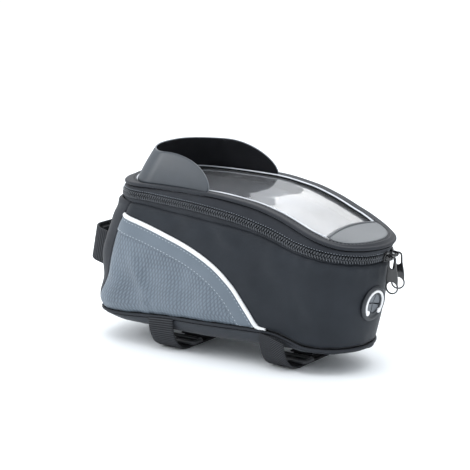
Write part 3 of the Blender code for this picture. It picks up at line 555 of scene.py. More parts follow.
def blend_colours(tree, factor, dark, light, low=0.3, high=0.7):
    ramp = add_node(tree, "ShaderNodeValToRGB", {0: factor})
    ramp.color_ramp.elements[0].position = low
    ramp.color_ramp.elements[0].color = (*dark, 1.0)
    ramp.color_ramp.elements[1].position = high
    ramp.color_ramp.elements[1].color = (*light, 1.0)
    return ramp.outputs[0]


def noise(tree, vector, scale, detail=3.0):
    return add_node(tree, "ShaderNodeTexNoise", {"Vector": vector, "Scale": scale,
                                                 "Detail": detail, "Roughness": 0.55}).outputs[0]


def scaled(tree, value, factor):
    return maths(tree, "MULTIPLY", value, factor)


def summed(tree, first, second):
    return maths(tree, "ADD", first, second)


def weave_height(tree, coords, kind, pitch):
    """Height of the threads, from 0 to 1, from cloth coordinates in metres."""
    split = add_node(tree, "ShaderNodeSeparateXYZ", {0: coords})
    turn = 2 * math.pi / (pitch * MM)
    u, v = scaled(tree, split.outputs[0], turn), scaled(tree, split.outputs[1], turn)
    if kind == "twill":
        return maths(tree, "SINE", summed(tree, u, v))
    if kind == "diamond":
        v = scaled(tree, v, 0.5)
        one = maths(tree, "ABSOLUTE", maths(tree, "SINE", summed(tree, u, v)))
        two = maths(tree, "ABSOLUTE", maths(tree, "SINE", maths(tree, "SUBTRACT", u, v)))
        return scaled(tree, one, two)
    return scaled(tree, maths(tree, "SINE", u), maths(tree, "SINE", v))


def cloth_material(name, dark, light, kind="plain", pitch=0.7, roughness=0.7, bump=0.25,
                   depth=0.08, contrast=0.35, coords="UV", **sockets):
    """Woven cloth: threads in bump and colour, large soft mottling and fine fibre speckle."""
    material, tree, shader = new_material(name, roughness, **sockets)
    place = add_node(tree, "ShaderNodeTexCoord").outputs[coords]
    threads = weave_height(tree, place, kind, pitch)
    mottle = noise(tree, place, 45.0)
    fibre = noise(tree, place, 2600.0, 2.0)
    mixed = summed(tree, scaled(tree, mottle, 0.55), scaled(tree, fibre, 0.45))
    mixed = summed(tree, mixed, scaled(tree, threads, 0.5 * contrast))
    link_surface(tree, shader, blend_colours(tree, mixed, dark, light, 0.25, 0.85),
                 summed(tree, scaled(tree, fibre, 0.18), roughness - 0.09),
                 summed(tree, threads, scaled(tree, fibre, 0.8)), bump, depth)
    return material


def moulded_material(name, dark, light, roughness, grain=1400.0, bump=0.15, **sockets):
    """Moulded rubber, plastic or lacquer: fine grain, faint scuffs and uneven gloss."""
    material, tree, shader = new_material(name, roughness, **sockets)
    place = add_node(tree, "ShaderNodeTexCoord").outputs["Object"]
    fine = noise(tree, place, grain)
    wide = noise(tree, place, 60.0, 4.0)
    mixed = summed(tree, scaled(tree, wide, 0.7), scaled(tree, fine, 0.3))
    link_surface(tree, shader, blend_colours(tree, mixed, dark, light),
                 summed(tree, scaled(tree, wide, 0.22), roughness - 0.11), fine, bump, 0.04)
    return material


def clear_material():
    """Clear flexible vinyl: gloss, slight ripple, a faint cool tint."""
    material, tree, shader = new_material("clear_vinyl", 0.05, IOR=1.52, Transmission_Weight=0.94,
                                          Specular_IOR_Level=0.5)
    place = add_node(tree, "ShaderNodeTexCoord").outputs["Object"]
    wide = noise(tree, place, 26.0, 2.0)
    fine = noise(tree, place, 240.0, 2.0)
    link_surface(tree, shader, blend_colours(tree, wide, (0.86, 0.89, 0.94), (0.95, 0.96, 0.98)),
                 scaled(tree, fine, 0.09), wide, 0.25, 1.2)
    return material


NYLON = cloth_material("nylon_cloth", (0.0095, 0.0122, 0.0165), (0.0225, 0.0275, 0.0360),
                       roughness=0.6, bump=0.3, Sheen_Weight=0.07, Sheen_Roughness=0.4,
                       Specular_IOR_Level=0.25)
RIPSTOP = cloth_material("ripstop_cloth", (0.040, 0.056, 0.078), (0.160, 0.198, 0.240),
                         "diamond", 4.9, 0.5, 0.7, 0.25, 0.85, Sheen_Weight=0.05)
HEM = cloth_material("hem_cloth", (0.096, 0.124, 0.155), (0.152, 0.188, 0.228), pitch=0.6,
                     roughness=0.5, Sheen_Weight=0.05)
DARK = cloth_material("dark_cloth", (0.0115, 0.0135, 0.0180), (0.0265, 0.0305, 0.0390), pitch=0.6,
                      roughness=0.62, bump=0.3, Sheen_Weight=0.06, Specular_IOR_Level=0.25)
PATCH_CLOTH = cloth_material("patch_cloth", (0.060, 0.070, 0.080), (0.098, 0.110, 0.124),
                             pitch=0.5, roughness=0.42, bump=0.2, Sheen_Weight=0.1)
BASE_CLOTH = cloth_material("base_cloth", (0.017, 0.020, 0.026), (0.040, 0.046, 0.056), pitch=0.6,
                            roughness=0.6, bump=0.3, Sheen_Weight=0.08, Specular_IOR_Level=0.3)
TAPE_CLOTH = cloth_material("tape_cloth", (0.015, 0.017, 0.021), (0.036, 0.040, 0.048), "twill",
                            0.9, 0.72, 0.35, Specular_IOR_Level=0.25)
WEB_RIBS = cloth_material("ribbed_webbing", (0.0075, 0.008, 0.0095), (0.046, 0.049, 0.056),
                          "twill", WEB_PITCH, 0.74, 0.3, 0.1, 1.0, Specular_IOR_Level=0.25)
HOOK_LOOP = cloth_material("hook_and_loop", (0.008, 0.008, 0.010), (0.028, 0.028, 0.032), "plain",
                           0.5, 0.95, 0.9, 0.4, coords="Object")
LINING = cloth_material("lining_cloth", (0.050, 0.053, 0.060), (0.095, 0.100, 0.112), "twill", 0.8,
                        0.8, coords="Object")
PAD_CLOTH = cloth_material("pad_cloth", (0.030, 0.033, 0.039), (0.060, 0.065, 0.074), "twill", 1.0,
                           0.75, coords="Object")

FOAM = moulded_material("wall_foam", (0.16, 0.17, 0.19), (0.28, 0.29, 0.31), 0.92, 900.0, 0.8)
BOARD = moulded_material("stiffener", (0.06, 0.06, 0.07), (0.10, 0.10, 0.11), 0.55)
REFLECTIVE = moulded_material("reflective_film", (0.72, 0.74, 0.76), (0.92, 0.93, 0.94), 0.4,
                              2200.0, 0.5, Sheen_Weight=0.2, Coat_Weight=0.2)
THREAD = moulded_material("pale_thread", (0.34, 0.38, 0.42), (0.52, 0.56, 0.60), 0.6)
DARK_THREAD = moulded_material("dark_thread", (0.010, 0.011, 0.013), (0.030, 0.032, 0.037), 0.55)
# pale grey that paints the highlight which light makes on the dark gusset stitches
HIGHLIGHT_THREAD = moulded_material("painted_highlight_thread", (0.16, 0.175, 0.20), (0.30, 0.33, 0.37), 0.4)
COIL = moulded_material("nylon_coil", (0.036, 0.040, 0.047), (0.080, 0.087, 0.099), 0.28,
                        Coat_Weight=0.3)
RUBBER = moulded_material("port_rubber", (0.018, 0.021, 0.026), (0.038, 0.043, 0.051), 0.5)
PALE_RUBBER = moulded_material("port_flaps", (0.085, 0.095, 0.110), (0.150, 0.165, 0.185), 0.45)
PRINT = moulded_material("white_ring", (0.82, 0.83, 0.85), (0.95, 0.95, 0.96), 0.4)
PLASTIC = moulded_material("black_plastic", (0.010, 0.010, 0.012), (0.026, 0.027, 0.030), 0.3)
RING_PLASTIC = moulded_material("grey_plastic", (0.040, 0.043, 0.048), (0.085, 0.090, 0.098), 0.4)
METAL = moulded_material("black_lacquer", (0.007, 0.007, 0.008), (0.018, 0.018, 0.020), 0.2,
                         900.0, 0.08, Coat_Weight=0.5)
HOOD_OUTSIDE = moulded_material("hood_outside", (0.030, 0.037, 0.046), (0.049, 0.060, 0.073), 0.4,
                                2600.0, 0.2)
HOOD_INSIDE = moulded_material("hood_inside", (0.0085, 0.0090, 0.0112), (0.0160, 0.0168, 0.0208),
                               0.75, 2600.0, 0.2, Specular_IOR_Level=0.2)
HOOD_EDGE = moulded_material("hood_edge", (0.16, 0.18, 0.20), (0.26, 0.28, 0.31), 0.45)
# the window's welded edge: its pale colour is a painted highlight, standing in for the light that
# the edge reflects
EDGE_HIGHLIGHT = moulded_material("painted_edge_highlight", (0.42, 0.45, 0.50), (0.66, 0.69, 0.74), 0.16, 1200.0, 0.1,
                        Coat_Weight=0.6)
VINYL = clear_material()


# ---- the wall: one settled cloth, cut into its panels ------------------------------------
WALL_ROWS = 36
SIDE_COLUMNS = 100             # from the rear middle to the front seam, each side
FRONT_COLUMNS = 20             # from the front seam to the front middle
WALL_COLUMNS = 2 * (SIDE_COLUMNS + FRONT_COLUMNS)
FRONT_PAIRS = sorted((f, s) for s, f in (wall_locate(x, z) for x, z in FRONT_SEAM))
STRIP_KNOTS = tuple(sorted(STRIP_LINE))
STRIP_END = STRIP_LINE[-1][0]
HEM_STITCHES_END = 26.5        # height of the lowest stitch

PORT_CENTRE = np.array((-105.2, 3.6, 46.0))
PORT_AXIS = unit(np.array((-0.981, 0.086, -0.1744)))
PORT_CUT = 8.6

# soft folds in the side cloth: (x, z) of both ends, width and height
FOLDS = ((66.0, 53.0, 51.0, 27.0, 4.0, -1.1), (54.0, 62.0, 41.0, 32.0, 4.5, 0.9),
         (42.5, 33.0, 40.0, 25.0, 2.0, -1.0), (15.0, 52.0, 8.0, 37.0, 5.0, -0.8),
         (30.0, 50.0, 22.0, 29.0, 7.0, 0.6), (0.0, 46.0, -6.0, 30.0, 5.0, 0.5),
         (22.0, 94.0, 14.0, 84.0, 5.0, -0.5), (-6.0, 90.0, -12.0, 78.0, 5.0, -0.6),
         (-14.0, 86.0, -30.0, 78.0, 4.0, 0.5), (-52.0, 78.0, -60.0, 60.0, 7.0, 0.5),
         (-70.0, 46.0, -76.0, 22.0, 5.0, -0.6), (-30.0, 60.0, -48.0, 44.0, 9.0, 0.6))


DEEPEST_FOLD = 1.3             # the foam lies this far behind the cloth
FOLD_STRENGTH = 3.4
FOLDS_FROM = 0.16              # no side folds nearer to the rear middle than this s
RIGHT_SHIFT = 7.0              # the right side's folds lie this much further back
SEAM_GROOVE = (0.9, 0.45, 0.12)
PORT_FLAT, PORT_FADE = 11.0, 5.0  # no folds within this radius, and full ones beyond both
PORT_PINNED = 13.0             # radius round the port that doesn't settle
STRIP_PINNED = 1.6             # and the distance beside the strip
WALL_SLACK, PAD_SLACK = 1.035, 1.02
WALL_CLOTH = 0.9               # thickness
CLOTH_RULES = {"quality": 7, "mass": 0.25, "tension_stiffness": 18.0, "shear_stiffness": 6.0,
               "compression_stiffness": 14.0, "bending_stiffness": 0.6, "air_damping": 3.0,
               "use_pressure": True}
SETTLE_FRAMES = 20


def front_edge(f):
    """The front seam's s at height share f."""
    return height_along(FRONT_PAIRS, f)


def top_share(s):
    """Height share f of the cloth's folded top edge."""
    low, high = wall_ends(s)
    drop = height_along(CLOTH_DROP, plan_point(ZIP_PLAN, s).x)
    return 1.0 - (drop - ZIP_CLEAR) / (high - low)


CORNER_TOP = top_share(0.9)


def wall_place(g, j):
    """(s, f) at row share g, and j columns from the rear middle."""
    side = -1.0 if j < 0 else 1.0
    edge = front_edge(g * CORNER_TOP)
    if abs(j) <= SIDE_COLUMNS:
        s = side * edge * abs(j) / SIDE_COLUMNS
    else:
        s = side * (edge + (1.0 - edge) * (abs(j) - SIDE_COLUMNS) / FRONT_COLUMNS)
    return s, g * top_share(s)


def wall_index(s, f):
    """(row, column) of a place on the wall, as fractions."""
    g = min(max(f / top_share(s), 0.0), 1.0)
    edge = front_edge(g * CORNER_TOP)
    if abs(s) <= edge:
        j = SIDE_COLUMNS * abs(s) / edge
    else:
        j = SIDE_COLUMNS + FRONT_COLUMNS * (abs(s) - edge) / (1.0 - edge)
    j = -j if s < 0 else j
    return g * (WALL_ROWS - 1), j + WALL_COLUMNS // 2


def line_height(x):
    """Height of the strip's line, run on in front of its end."""
    ahead = max(x - STRIP_LINE[0][0], 0.0)
    return height_along(STRIP_KNOTS, x) + 0.157 * ahead


def under_line(x, z):
    """How far a place lies below the strip's line, square to it."""
    slope = line_height(x + 0.5) - line_height(x - 0.5)
    return (line_height(x) - z) / math.sqrt(1.0 + slope ** 2)


def fold_height(x, z):
    """Height of the soft folds at a place on the side."""
    total = 0.0
    for x0, z0, x1, z1, width, height in FOLDS:
        along = ((x - x0) * (x1 - x0) + (z - z0) * (z1 - z0)) / ((x1 - x0) ** 2 + (z1 - z0) ** 2)
        t = min(max(along, 0.0), 1.0)
        gap = math.hypot(x - x0 - t * (x1 - x0), z - z0 - t * (z1 - z0))
        fade = math.sin(math.pi * min(max(0.12 + 0.76 * t, 0.0), 1.0))
        total += height * fade * math.exp(-(gap / width) ** 2)
    return total


def front_swell(s, z):
    """How far the padded front and its lower corners stand out."""
    u = smooth_step((abs(s) - 0.60) / 0.22)
    low = 3.0 * math.exp(-((z - 30.0) / 9.0) ** 2)
    high = 1.6 * math.exp(-((z - 60.0) / 16.0) ** 2)
    return u * (low + high) * smooth_step((z - 20.0) / 6.0)


def front_pillow(past_seam, z):
    """How far the front panel stands out beyond its seam, past_seam in columns."""
    level = smooth_step((z - 30.0) / 30.0) * (1.0 - 0.45 * smooth_step((z - 82.0) / 14.0))
    return 3.8 * smooth_step(past_seam / 6.0) * level


def settle(grid, slack, pinned, pressure, flip=False):
    """Cloth simulation of a closed grid, cut longer than its seams by slack, that swells."""
    obj = sheet("settling", grid, [], True, flip)
    obj.shape_key_add(name="Basis")
    key = obj.shape_key_add(name="cut")
    longer = to_world(slack.reshape(-1, 3))
    key.data.foreach_set("co", longer.astype(np.float32).ravel())
    key.value = 0.0
    group = obj.vertex_groups.new(name="seams")
    group.add([int(i) for i in np.flatnonzero(pinned.ravel())], 1.0, "REPLACE")
    cloth = obj.modifiers.new("cloth", "CLOTH")
    rules = cloth.settings
    for rule, value in CLOTH_RULES.items():
        setattr(rules, rule, value)
    rules.uniform_pressure_force = pressure
    rules.effector_weights.gravity = 0.0
    rules.vertex_group_mass = group.name
    rules.rest_shape_key = key
    cloth.collision_settings.use_collision = False
    scene = bpy.context.scene
    for number in range(1, SETTLE_FRAMES + 1):
        scene.frame_set(number)
    graph = bpy.context.evaluated_depsgraph_get()
    moved = obj.evaluated_get(graph).to_mesh()
    spots = np.zeros(len(moved.vertices) * 3, np.float32)
    moved.vertices.foreach_get("co", spots)
    scene.frame_set(1)
    bpy.data.objects.remove(obj, do_unlink=True)
    return (spots.reshape(grid.shape) / MM) - (CENTRE_SHIFT, 0.0, 0.0)


def limited(base, moved, normals, inwards, outwards, sideways):
    """The move from base, with a cap square to the cloth and one along it."""
    shift = moved - base
    square = np.sum(shift * normals, axis=2, keepdims=True)
    along = shift - normals * square
    size = np.linalg.norm(along, axis=2, keepdims=True)
    along *= np.minimum(1.0, sideways / np.maximum(size, 1e-9))
    return base + normals * np.clip(square, -inwards, outwards) + along


def waves(along, first_length, second_length, phases, share):
    """Two mixed waves along a seam."""
    return (math.sin(along / first_length + phases[0])
            + share * math.sin(along / second_length + phases[1]))


def wall_rise(spot, s, past_seam, gap, low, along, phases):
    """How far a place of the wall is lifted: folds, swell, pleats, rolled edges and seams.

    gap is the distance under the cloth's top edge, low the height over its bottom edge,
    past_seam the columns beyond the front seam and along the length round the bag.
    """
    x, y, z = spot
    rise = 0.0
    if abs(s) > FOLDS_FROM:
        rise = FOLD_STRENGTH * fold_height(x if y > 0 else x + RIGHT_SHIFT, z)
    if rise <= 0.0:
        rise = DEEPEST_FOLD * math.tanh(rise / DEEPEST_FOLD)
    rise += front_swell(s, z) + front_pillow(past_seam, z)
    rear = 1.0 - smooth_step((x + 75.0) / 50.0)
    rise += (0.12 + 0.42 * rear) * waves(along, 1.45, 2.3, phases, 0.6) * math.exp(-gap / 5.0)
    rise += 0.16 * waves(along, 2.9, 1.7, phases[2:], 0.7) * math.exp(-low / 6.0)
    rise += 0.75 * math.exp(-((gap - 2.5) / 2.2) ** 2) - 1.1 * math.exp(-(gap / 0.9) ** 2)
    rise -= 0.5 * math.exp(-(low / 1.2) ** 2)
    if abs(past_seam) < len(SEAM_GROOVE):
        rise -= SEAM_GROOVE[abs(past_seam)]
    return rise


def wall_cloth():
    """Settled grid of the whole wall, rows from the base up, columns from the front round."""
    half = WALL_COLUMNS // 2
    places = [[wall_place(g, j) for j in range(-half, half)] for g in columns(0.0, 1.0, WALL_ROWS)]
    base = to_grid([[wall_point(s, f) for s, f in row] for row in places])
    normals = grid_normals(base, True)
    below = np.array([[under_line(p[0], p[2]) for p in row] for row in base])
    port = np.linalg.norm(base - PORT_CENTRE, axis=2)
    past_seam = np.abs(np.arange(-half, half)) - SIDE_COLUMNS
    pinned = np.zeros(base.shape[:2], bool)
    pinned[0], pinned[-1] = True, True
    pinned[:, past_seam == 0] = True
    pinned |= (np.abs(below) < STRIP_PINNED) & (past_seam < 0)
    pinned |= port < PORT_PINNED
    slack = base.copy()
    slack[..., :2] *= WALL_SLACK
    base = limited(base, settle(base, slack, pinned, 3.0), normals, 1.0, 1.9, 1.2)
    rng = random.Random(7)
    phases = [rng.uniform(0, 2 * math.pi) for _ in range(4)]
    around = run_lengths(base[-1], True)[:-1] / MM
    for r in range(WALL_ROWS):
        for c in range(WALL_COLUMNS):
            height = base[r, c, 2]
            rise = wall_rise(base[r, c], places[r][c][0], past_seam[c], base[-1, c, 2] - height,
                             height - base[0, c, 2], around[c], phases)
            if port[r, c] < PORT_FLAT + PORT_FADE:
                rise *= smooth_step((port[r, c] - PORT_FLAT) / PORT_FADE)
            base[r, c] += normals[r, c] * rise
    return base


WALL = wall_cloth()
WALL_NORMALS = grid_normals(WALL, True)


def skin_at(s, f, lift=0.0):
    """Point of the settled wall, lifted outwards, and the normal there."""
    row, column = wall_index(s, f)
    r, c = min(int(row), WALL_ROWS - 2), int(math.floor(column))
    a, b = row - r, column - c
    spot, normal = np.zeros(3), np.zeros(3)
    corners = ((0, 0, (1 - a) * (1 - b)), (1, 0, a * (1 - b)), (0, 1, (1 - a) * b), (1, 1, a * b))
    for i, j, share in corners:
        spot += WALL[r + i, (c + j) % WALL_COLUMNS] * share
        normal += WALL_NORMALS[r + i, (c + j) % WALL_COLUMNS] * share
    normal = unit(normal)
    return spot + normal * lift, normal


def wall_panel(name, keep, material, slot, node):
    """The cells of the wall that keep accepts, with the top edge rolled in."""
    rolled = [WALL]
    for lift, depth in ((0.5, 1.4), (-1.2, 2.2)):
        rolled.append((WALL[-1] - WALL_NORMALS[-1] * depth + (0.0, 0.0, lift))[None])
    grid = np.concatenate(rolled)
    rows, count = grid.shape[:2]
    faces = grid_faces(rows, count, True, False)
    corners = np.array(grid_uvs(grid, True, False)).reshape(-1, 4, 2)
    chosen, uvs = [], []
    for face, corner in zip(faces, corners):
        r, c = face[0] // count, face[0] % count
        middle = grid[[v // count for v in face], [v % count for v in face]].mean(axis=0)
        if keep(min(r, WALL_ROWS - 2), c, middle):
            chosen.append(face)
            uvs.append(corner)
    used = sorted({v for face in chosen for v in face})
    number = {v: i for i, v in enumerate(used)}
    faces = [tuple(number[v] for v in face) for face in chosen]
    uvs = np.array(uvs).reshape(-1, 2)
    obj = mesh_of(name, grid.reshape(-1, 3)[used], faces, [material], uvs)
    thicken(obj, WALL_CLOTH)
    finished(obj, "root", slot, node)


def column_step(c):
    """Columns between a cell's middle and the rear middle."""
    return abs(c + 0.5 - WALL_COLUMNS // 2)


def body_panels():
    """Cut the settled wall along its seams into four cloths."""
    def dark(_r, c, spot):
        if column_step(c) > SIDE_COLUMNS or np.linalg.norm(spot - PORT_CENTRE) < PORT_CUT:
            return False
        return spot[0] < STRIP_END or under_line(spot[0], spot[2]) < 2.6

    def grey(side):
        def keep(_r, c, spot):
            return (column_step(c) < SIDE_COLUMNS and spot[1] * side > 0
                    and spot[0] > STRIP_END - 1.5
                    and under_line(spot[0], spot[2]) > 2.0)
        return keep

    def front(_r, c, _spot):
        return column_step(c) > SIDE_COLUMNS

    wall_panel("body_cloth", dark, NYLON, "nylon", "body_wrap")
    wall_panel("side_cloth_left", grey(1), RIPSTOP, "ripstop", "side_panel_left")
    wall_panel("side_cloth_right", grey(-1), RIPSTOP, "ripstop", "side_panel_right")
    wall_panel("front_cloth", front, DARK, "dark_fabric", "front_panel")


def strip_route(start, ends, spacing):
    """Places (x, z) down the strip's line from x = start, with extra points at its end."""
    spots = [(x, 0.0, line_height(x)) for x in columns(start, STRIP_END + 1.0, 60)]
    return smooth_path(spots + [(x, 0.0, z) for x, z in ends], spacing)


def beside_route(route, side, distance, lift):
    """Line on the wall beside a route, distance towards the grey side."""
    slopes = np.gradient(route, axis=0)
    line = []
    for spot, slope in zip(route, slopes):
        t = unit(slope)
        x, z = spot[0] - t[2] * distance, spot[2] + t[0] * distance
        s, f = wall_locate(x, z)
        f = min(max(f, 0.008), 0.99)
        s = min(s, front_edge(f) - 0.003)
        line.append(skin_at(side * s, f, lift)[0])
    return np.array(line)


def on_wall(route, side, section):
    """Rows beside a route, one for each (distance, lift) of a section."""
    return [beside_route(route, side, distance, lift) for distance, lift in section]


def wall_normal_at(spot):
    """Outward direction of the wall near a spot."""
    s, f = wall_locate(spot[0], spot[2])
    return skin_at(math.copysign(s, spot[1]), f)[1]


def strip_and_hem(side, label):
    """Reflective piping over the seam, and the stitched hem band below it."""
    route = strip_route(63.3, ((-40.4, 27.0), (-43.0, 26.0), (-46.0, 25.6)), 1.3)
    section = ((-1.05, 0.1), (-1.0, 0.6), (-0.6, 0.95), (0.0, 1.05), (0.6, 0.95), (1.0, 0.6),
               (1.05, 0.1))
    cloth_piece("reflective_piping_" + label, on_wall(route, side, section), REFLECTIVE, "root",
                "reflective", "reflective_strip_" + label, flip=side > 0, thickness=0.5)
    route = strip_route(74.0, ((-39.0, 28.0), (-42.0, 22.0)), 1.6)
    section = ((1.2, 0.45), (3.0, 0.3), (5.0, 0.5), (7.5, 0.5), (10.0, 0.42), (11.2, 0.28),
               (12.0, 0.4), (12.3, 0.05))
    cloth_piece("hem_band_" + label, on_wall(route, side, section), HEM, "root", "ripstop",
                flip=side > 0, thickness=0.35)
    for distance, place in ((3.0, "upper"), (11.2, "lower")):
        line = beside_route(route, side, distance, 0.32)
        stitches("hem_stitches_%s_%s" % (place, label), line[line[:, 2] > HEM_STITCHES_END],
                 wall_normal_at, (2.6, 2.0, 0.26), THREAD, "root", "ripstop")


# ---- base --------------------------------------------------------------------------------
def towards_spine(row, share):
    """A level row of the floor, drawn in towards the bag's middle line."""
    return [(x + (min(max(x, -66.0), 55.0) - x) * share, y * (1.0 - share), z) for x, y, z in row]


def base_point(s, inset, share):
    """Point of the base: share is 1 at its seam and 0 at its underside."""
    x = plan_point(BASE_PLAN, s).x
    tuck = 7.5 * (1.0 - share) * smooth_step((x - 62.0) / 25.0)
    flat = inset_point(BASE_PLAN, s, inset + tuck)
    top = height_along(BASE_SEAM, x) - SEAM_CLEAR + 0.4
    return flat.x, flat.y, FLOOR_LEVEL + (top - FLOOR_LEVEL) * share


def base_cloth():
    """Boat-shaped base with soft rounded sides and a flat underside."""
    profile = ((0.9, 1.0), (0.05, 0.93), (0.0, 0.80), (0.5, 0.62), (1.3, 0.44), (2.5, 0.28),
               (4.0, 0.13), (5.6, 0.03), (7.5, 0.0), (12.0, 0.0), (18.0, 0.0))
    rows = rows_of(base_point, closed_columns(220), profile)
    rows += [towards_spine(rows[10], share) for share in (0.5, 0.85, 1.0)]
    grid = np.array(rows)
    ripple = ripples(run_lengths(grid[2], True)[:-1] / MM, (0.22, 6.1, 0.0), (0.16, 2.7, 1.0))
    for r, weight in ((2, 0.6), (3, 1.0), (4, 1.0), (5, 0.7), (6, 0.3)):
        grid[r, :, 2] += ripple * weight
    cloth_piece("base_cloth", grid, BASE_CLOTH, "root", "dark_fabric", "base_pan",
                closed=True, flip=True, thickness=0.9)
    places = closed_columns(260)
    flats = [plan_point(BASE_PLAN, s) for s in places]
    line = [(flat.x, flat.y, height_along(BASE_SEAM, flat.x)) for flat in flats]
    guide = [(*plan_normal(BASE_PLAN, s), 0.0) for s in places]
    cord_piece("base_seam_piping", line, guide, circle(0.95, 10), DARK, "root", "dark_fabric",
               "base_piping", closed=True)


# ---- zip ---------------------------------------------------------------------------------
ZIP_END = 0.93
TOOTH_PITCH = 1.8
COIL_STEPS = 12                # points in one turn of the coil
COIL_WIRE = 0.41


def zip_places(spacing):
    """Places along the zip, evenly spaced by length."""
    dense = columns(-ZIP_END, ZIP_END, 900)
    line = np.array([tuple(zip_point(s)) for s in dense])
    lengths = run_lengths(line, False) / MM
    return np.interp(np.arange(0.0, lengths[-1], spacing), lengths, dense)


def zip_teeth(direction, label, body):
    """Coil of one side: a flattened spiral, each turn lying across the zip."""
    path = []
    for i, s in enumerate(zip_places(TOOTH_PITCH / COIL_STEPS)):
        angle = 2 * math.pi * i / COIL_STEPS + (0.0 if direction > 0 else math.pi)
        across = 1.10 + 0.90 * math.cos(angle)
        path.append(coil_point(s, direction * across, -0.62 * math.sin(angle) - 0.2))
    curve = bpy.data.curves.new("zip_teeth_" + label, "CURVE")
    curve.dimensions = "3D"
    poly_spline(curve, to_world(path))
    curve.bevel_depth = COIL_WIRE * MM
    curve.bevel_resolution = 1
    curve.use_fill_caps = True
    obj = add_object("zip_teeth_" + label, curve_mesh(curve), [COIL])
    finished(obj, body, "coil", "zip_coil_" + label)


def zip_tapes():
    """Woven tapes beside the coils: the lower one shows above the body's folded edge."""
    places = columns(-ZIP_END, ZIP_END, 260)

    def under_coil(s, share, depth):
        x = plan_point(ZIP_PLAN, s).x
        start = height_along(COIL_RISE, x) - COIL_HALF - 0.2
        end = -height_along(CLOTH_DROP, x) - 0.4
        return zip_point(s, start + min(end - start, -0.5) * share, depth)

    rows = rows_of(coil_point, places, ((0.3, 1.4), (-0.7, 1.4), (-1.7, 1.25),
                                        (-COIL_HALF - 0.1, 0.8)))
    rows += rows_of(under_coil, places, ((0.3, 0.35), (0.75, 0.35), (1.0, 0.8), (1.15, 1.9)))
    rows += rows_of(zip_point, places, ((-8.0, 2.2),))
    cloth_piece("zip_tape_down", rows[::-1], TAPE_CLOTH, "root", "webbing", "zip_tape_lower",
                thickness=0.4)
    rows = rows_of(coil_point, places, ((0.3, 1.4), (1.2, 1.4), (2.0, 1.25), (2.4, 0.8),
                                        (2.9, 1.3), (3.8, 2.2)))
    cloth_piece("zip_tape_up", rows, TAPE_CLOTH, "lid", "webbing", "zip_tape_upper",
                thickness=0.4)


# ---- lid ---------------------------------------------------------------------------------
def gusset_point(s, g, depth=0.0):
    """Point of the band between the zip and the rim: g is 0 at the zip and 1 at the rim."""
    low = coil_point(s, COIL_HALF + 0.15)
    high = rim_point(s, -1.75)
    spot = low.lerp(high, g)
    normal = plan_normal(ZIP_PLAN, s)
    out = 0.35 * math.sin(math.pi * min(max(g, 0.0), 1.0)) - depth
    return Vector((spot.x + normal.x * out, spot.y + normal.y * out, spot.z))


def normal_by(plan):
    """Function that gives the outward level normal of an outline near a spot."""
    places = columns(-1.0, 1.0, 500)
    line = np.array([tuple(plan_point(plan, s)) for s in places])
    normals = np.array([tuple(plan_normal(plan, s)) for s in places])

    def normal_at(spot):
        nearest = int(np.argmin(np.sum((line - spot[:2]) ** 2, axis=1)))
        return np.array((*normals[nearest], 0.0))
    return normal_at


def gusset_cloth():
    """Band between the upper tape and the rim, with its row of stitches."""
    def grooved(s, g, depth):
        if g > 0.9:
            depth *= 1.0 - 0.75 * smooth_step((plan_point(RIM_PLAN, s).x + 15.0) / 20.0)
        return gusset_point(s, g, depth)

    profile = ((-0.12, 1.6), (-0.04, 0.6), (0.05, 0.05), (0.2, 0.0), (0.4, 0.0), (0.6, 0.0),
               (0.8, 0.0), (0.93, 0.15), (1.0, 0.7), (1.03, 1.7))
    grid = to_grid(rows_of(grooved, closed_columns(260), profile))
    ripple = ripples(run_lengths(grid[4], True)[:-1] / MM, (0.10, 3.7, 0.0), (0.08, 1.9, 2.0))
    normals = grid_normals(grid, True)
    for r, weight in ((2, 0.5), (3, 1.0), (4, 1.0), (5, 1.0), (6, 0.8)):
        grid[r] += normals[r] * (ripple * weight)[:, None]
    cloth_piece("gusset_cloth", grid, DARK, "lid", "dark_fabric", "lid_gusset", closed=True,
                thickness=0.8)
    line = []
    for s in columns(-0.95, 0.95, 500):
        share = 0.8 / (gusset_point(s, 1.0) - gusset_point(s, 0.0)).length
        line.append(tuple(gusset_point(s, share, -0.02)))
    # these stitches are coloured pale grey: a painted highlight of light glinting on them
    stitches("gusset_stitches", line, normal_by(ZIP_PLAN), (1.8, 0.85, 0.27), HIGHLIGHT_THREAD, "lid",
             "dark_fabric")


def rim_width(s):
    """Width of the rim's folded cloth, narrower round the rear end."""
    return 4.3 + 2.3 * smooth_step((plan_point(RIM_PLAN, s).x + 104.0) / 26.0)


def rim_fold():
    """Frame of cloth folded round the rim's cord and in to the window, with its stitches."""
    def inner(s, depth, rise):
        return lid_point(s, depth * rim_width(s) / 6.6, rise)

    places = closed_columns(260)
    rows = rows_of(rim_point, places, ((-1.45, 1.7), (-1.25, 0.5), (-1.0, -0.55), (-0.35, -1.15),
                                       (0.35, -1.2), (0.95, -0.75), (1.28, 0.1), (1.3, 1.2)))
    rows += rows_of(inner, places, ((2.8, 0.35), (3.8, 0.3), (4.8, 0.28), (5.8, 0.3), (6.5, 0.2),
                                    (6.7, -0.35)))
    cloth_piece("rim_fold", rows, DARK, "lid", "dark_fabric", "lid_frame", "lid_binding",
                closed=True, thickness=0.7)
    line = [tuple(inner(s, 5.0, 0.28)) for s in columns(-0.999, 0.999, 500)]
    stitches("rim_stitches", line, upwards, (2.4, 1.6, 0.22), DARK_THREAD, "lid", "dark_fabric")


WINDOW_SAG = 0.7
WINDOW_INSET, EDGE_HIGHLIGHT_INSET = 3.6, 7.35


def window_height(x, y):
    """Height of the window's sheet, with its slight sag."""
    return height_along(RIM_SEAM, x) - 0.35 - WINDOW_SAG * (1.0 - (y / 39.0) ** 2)


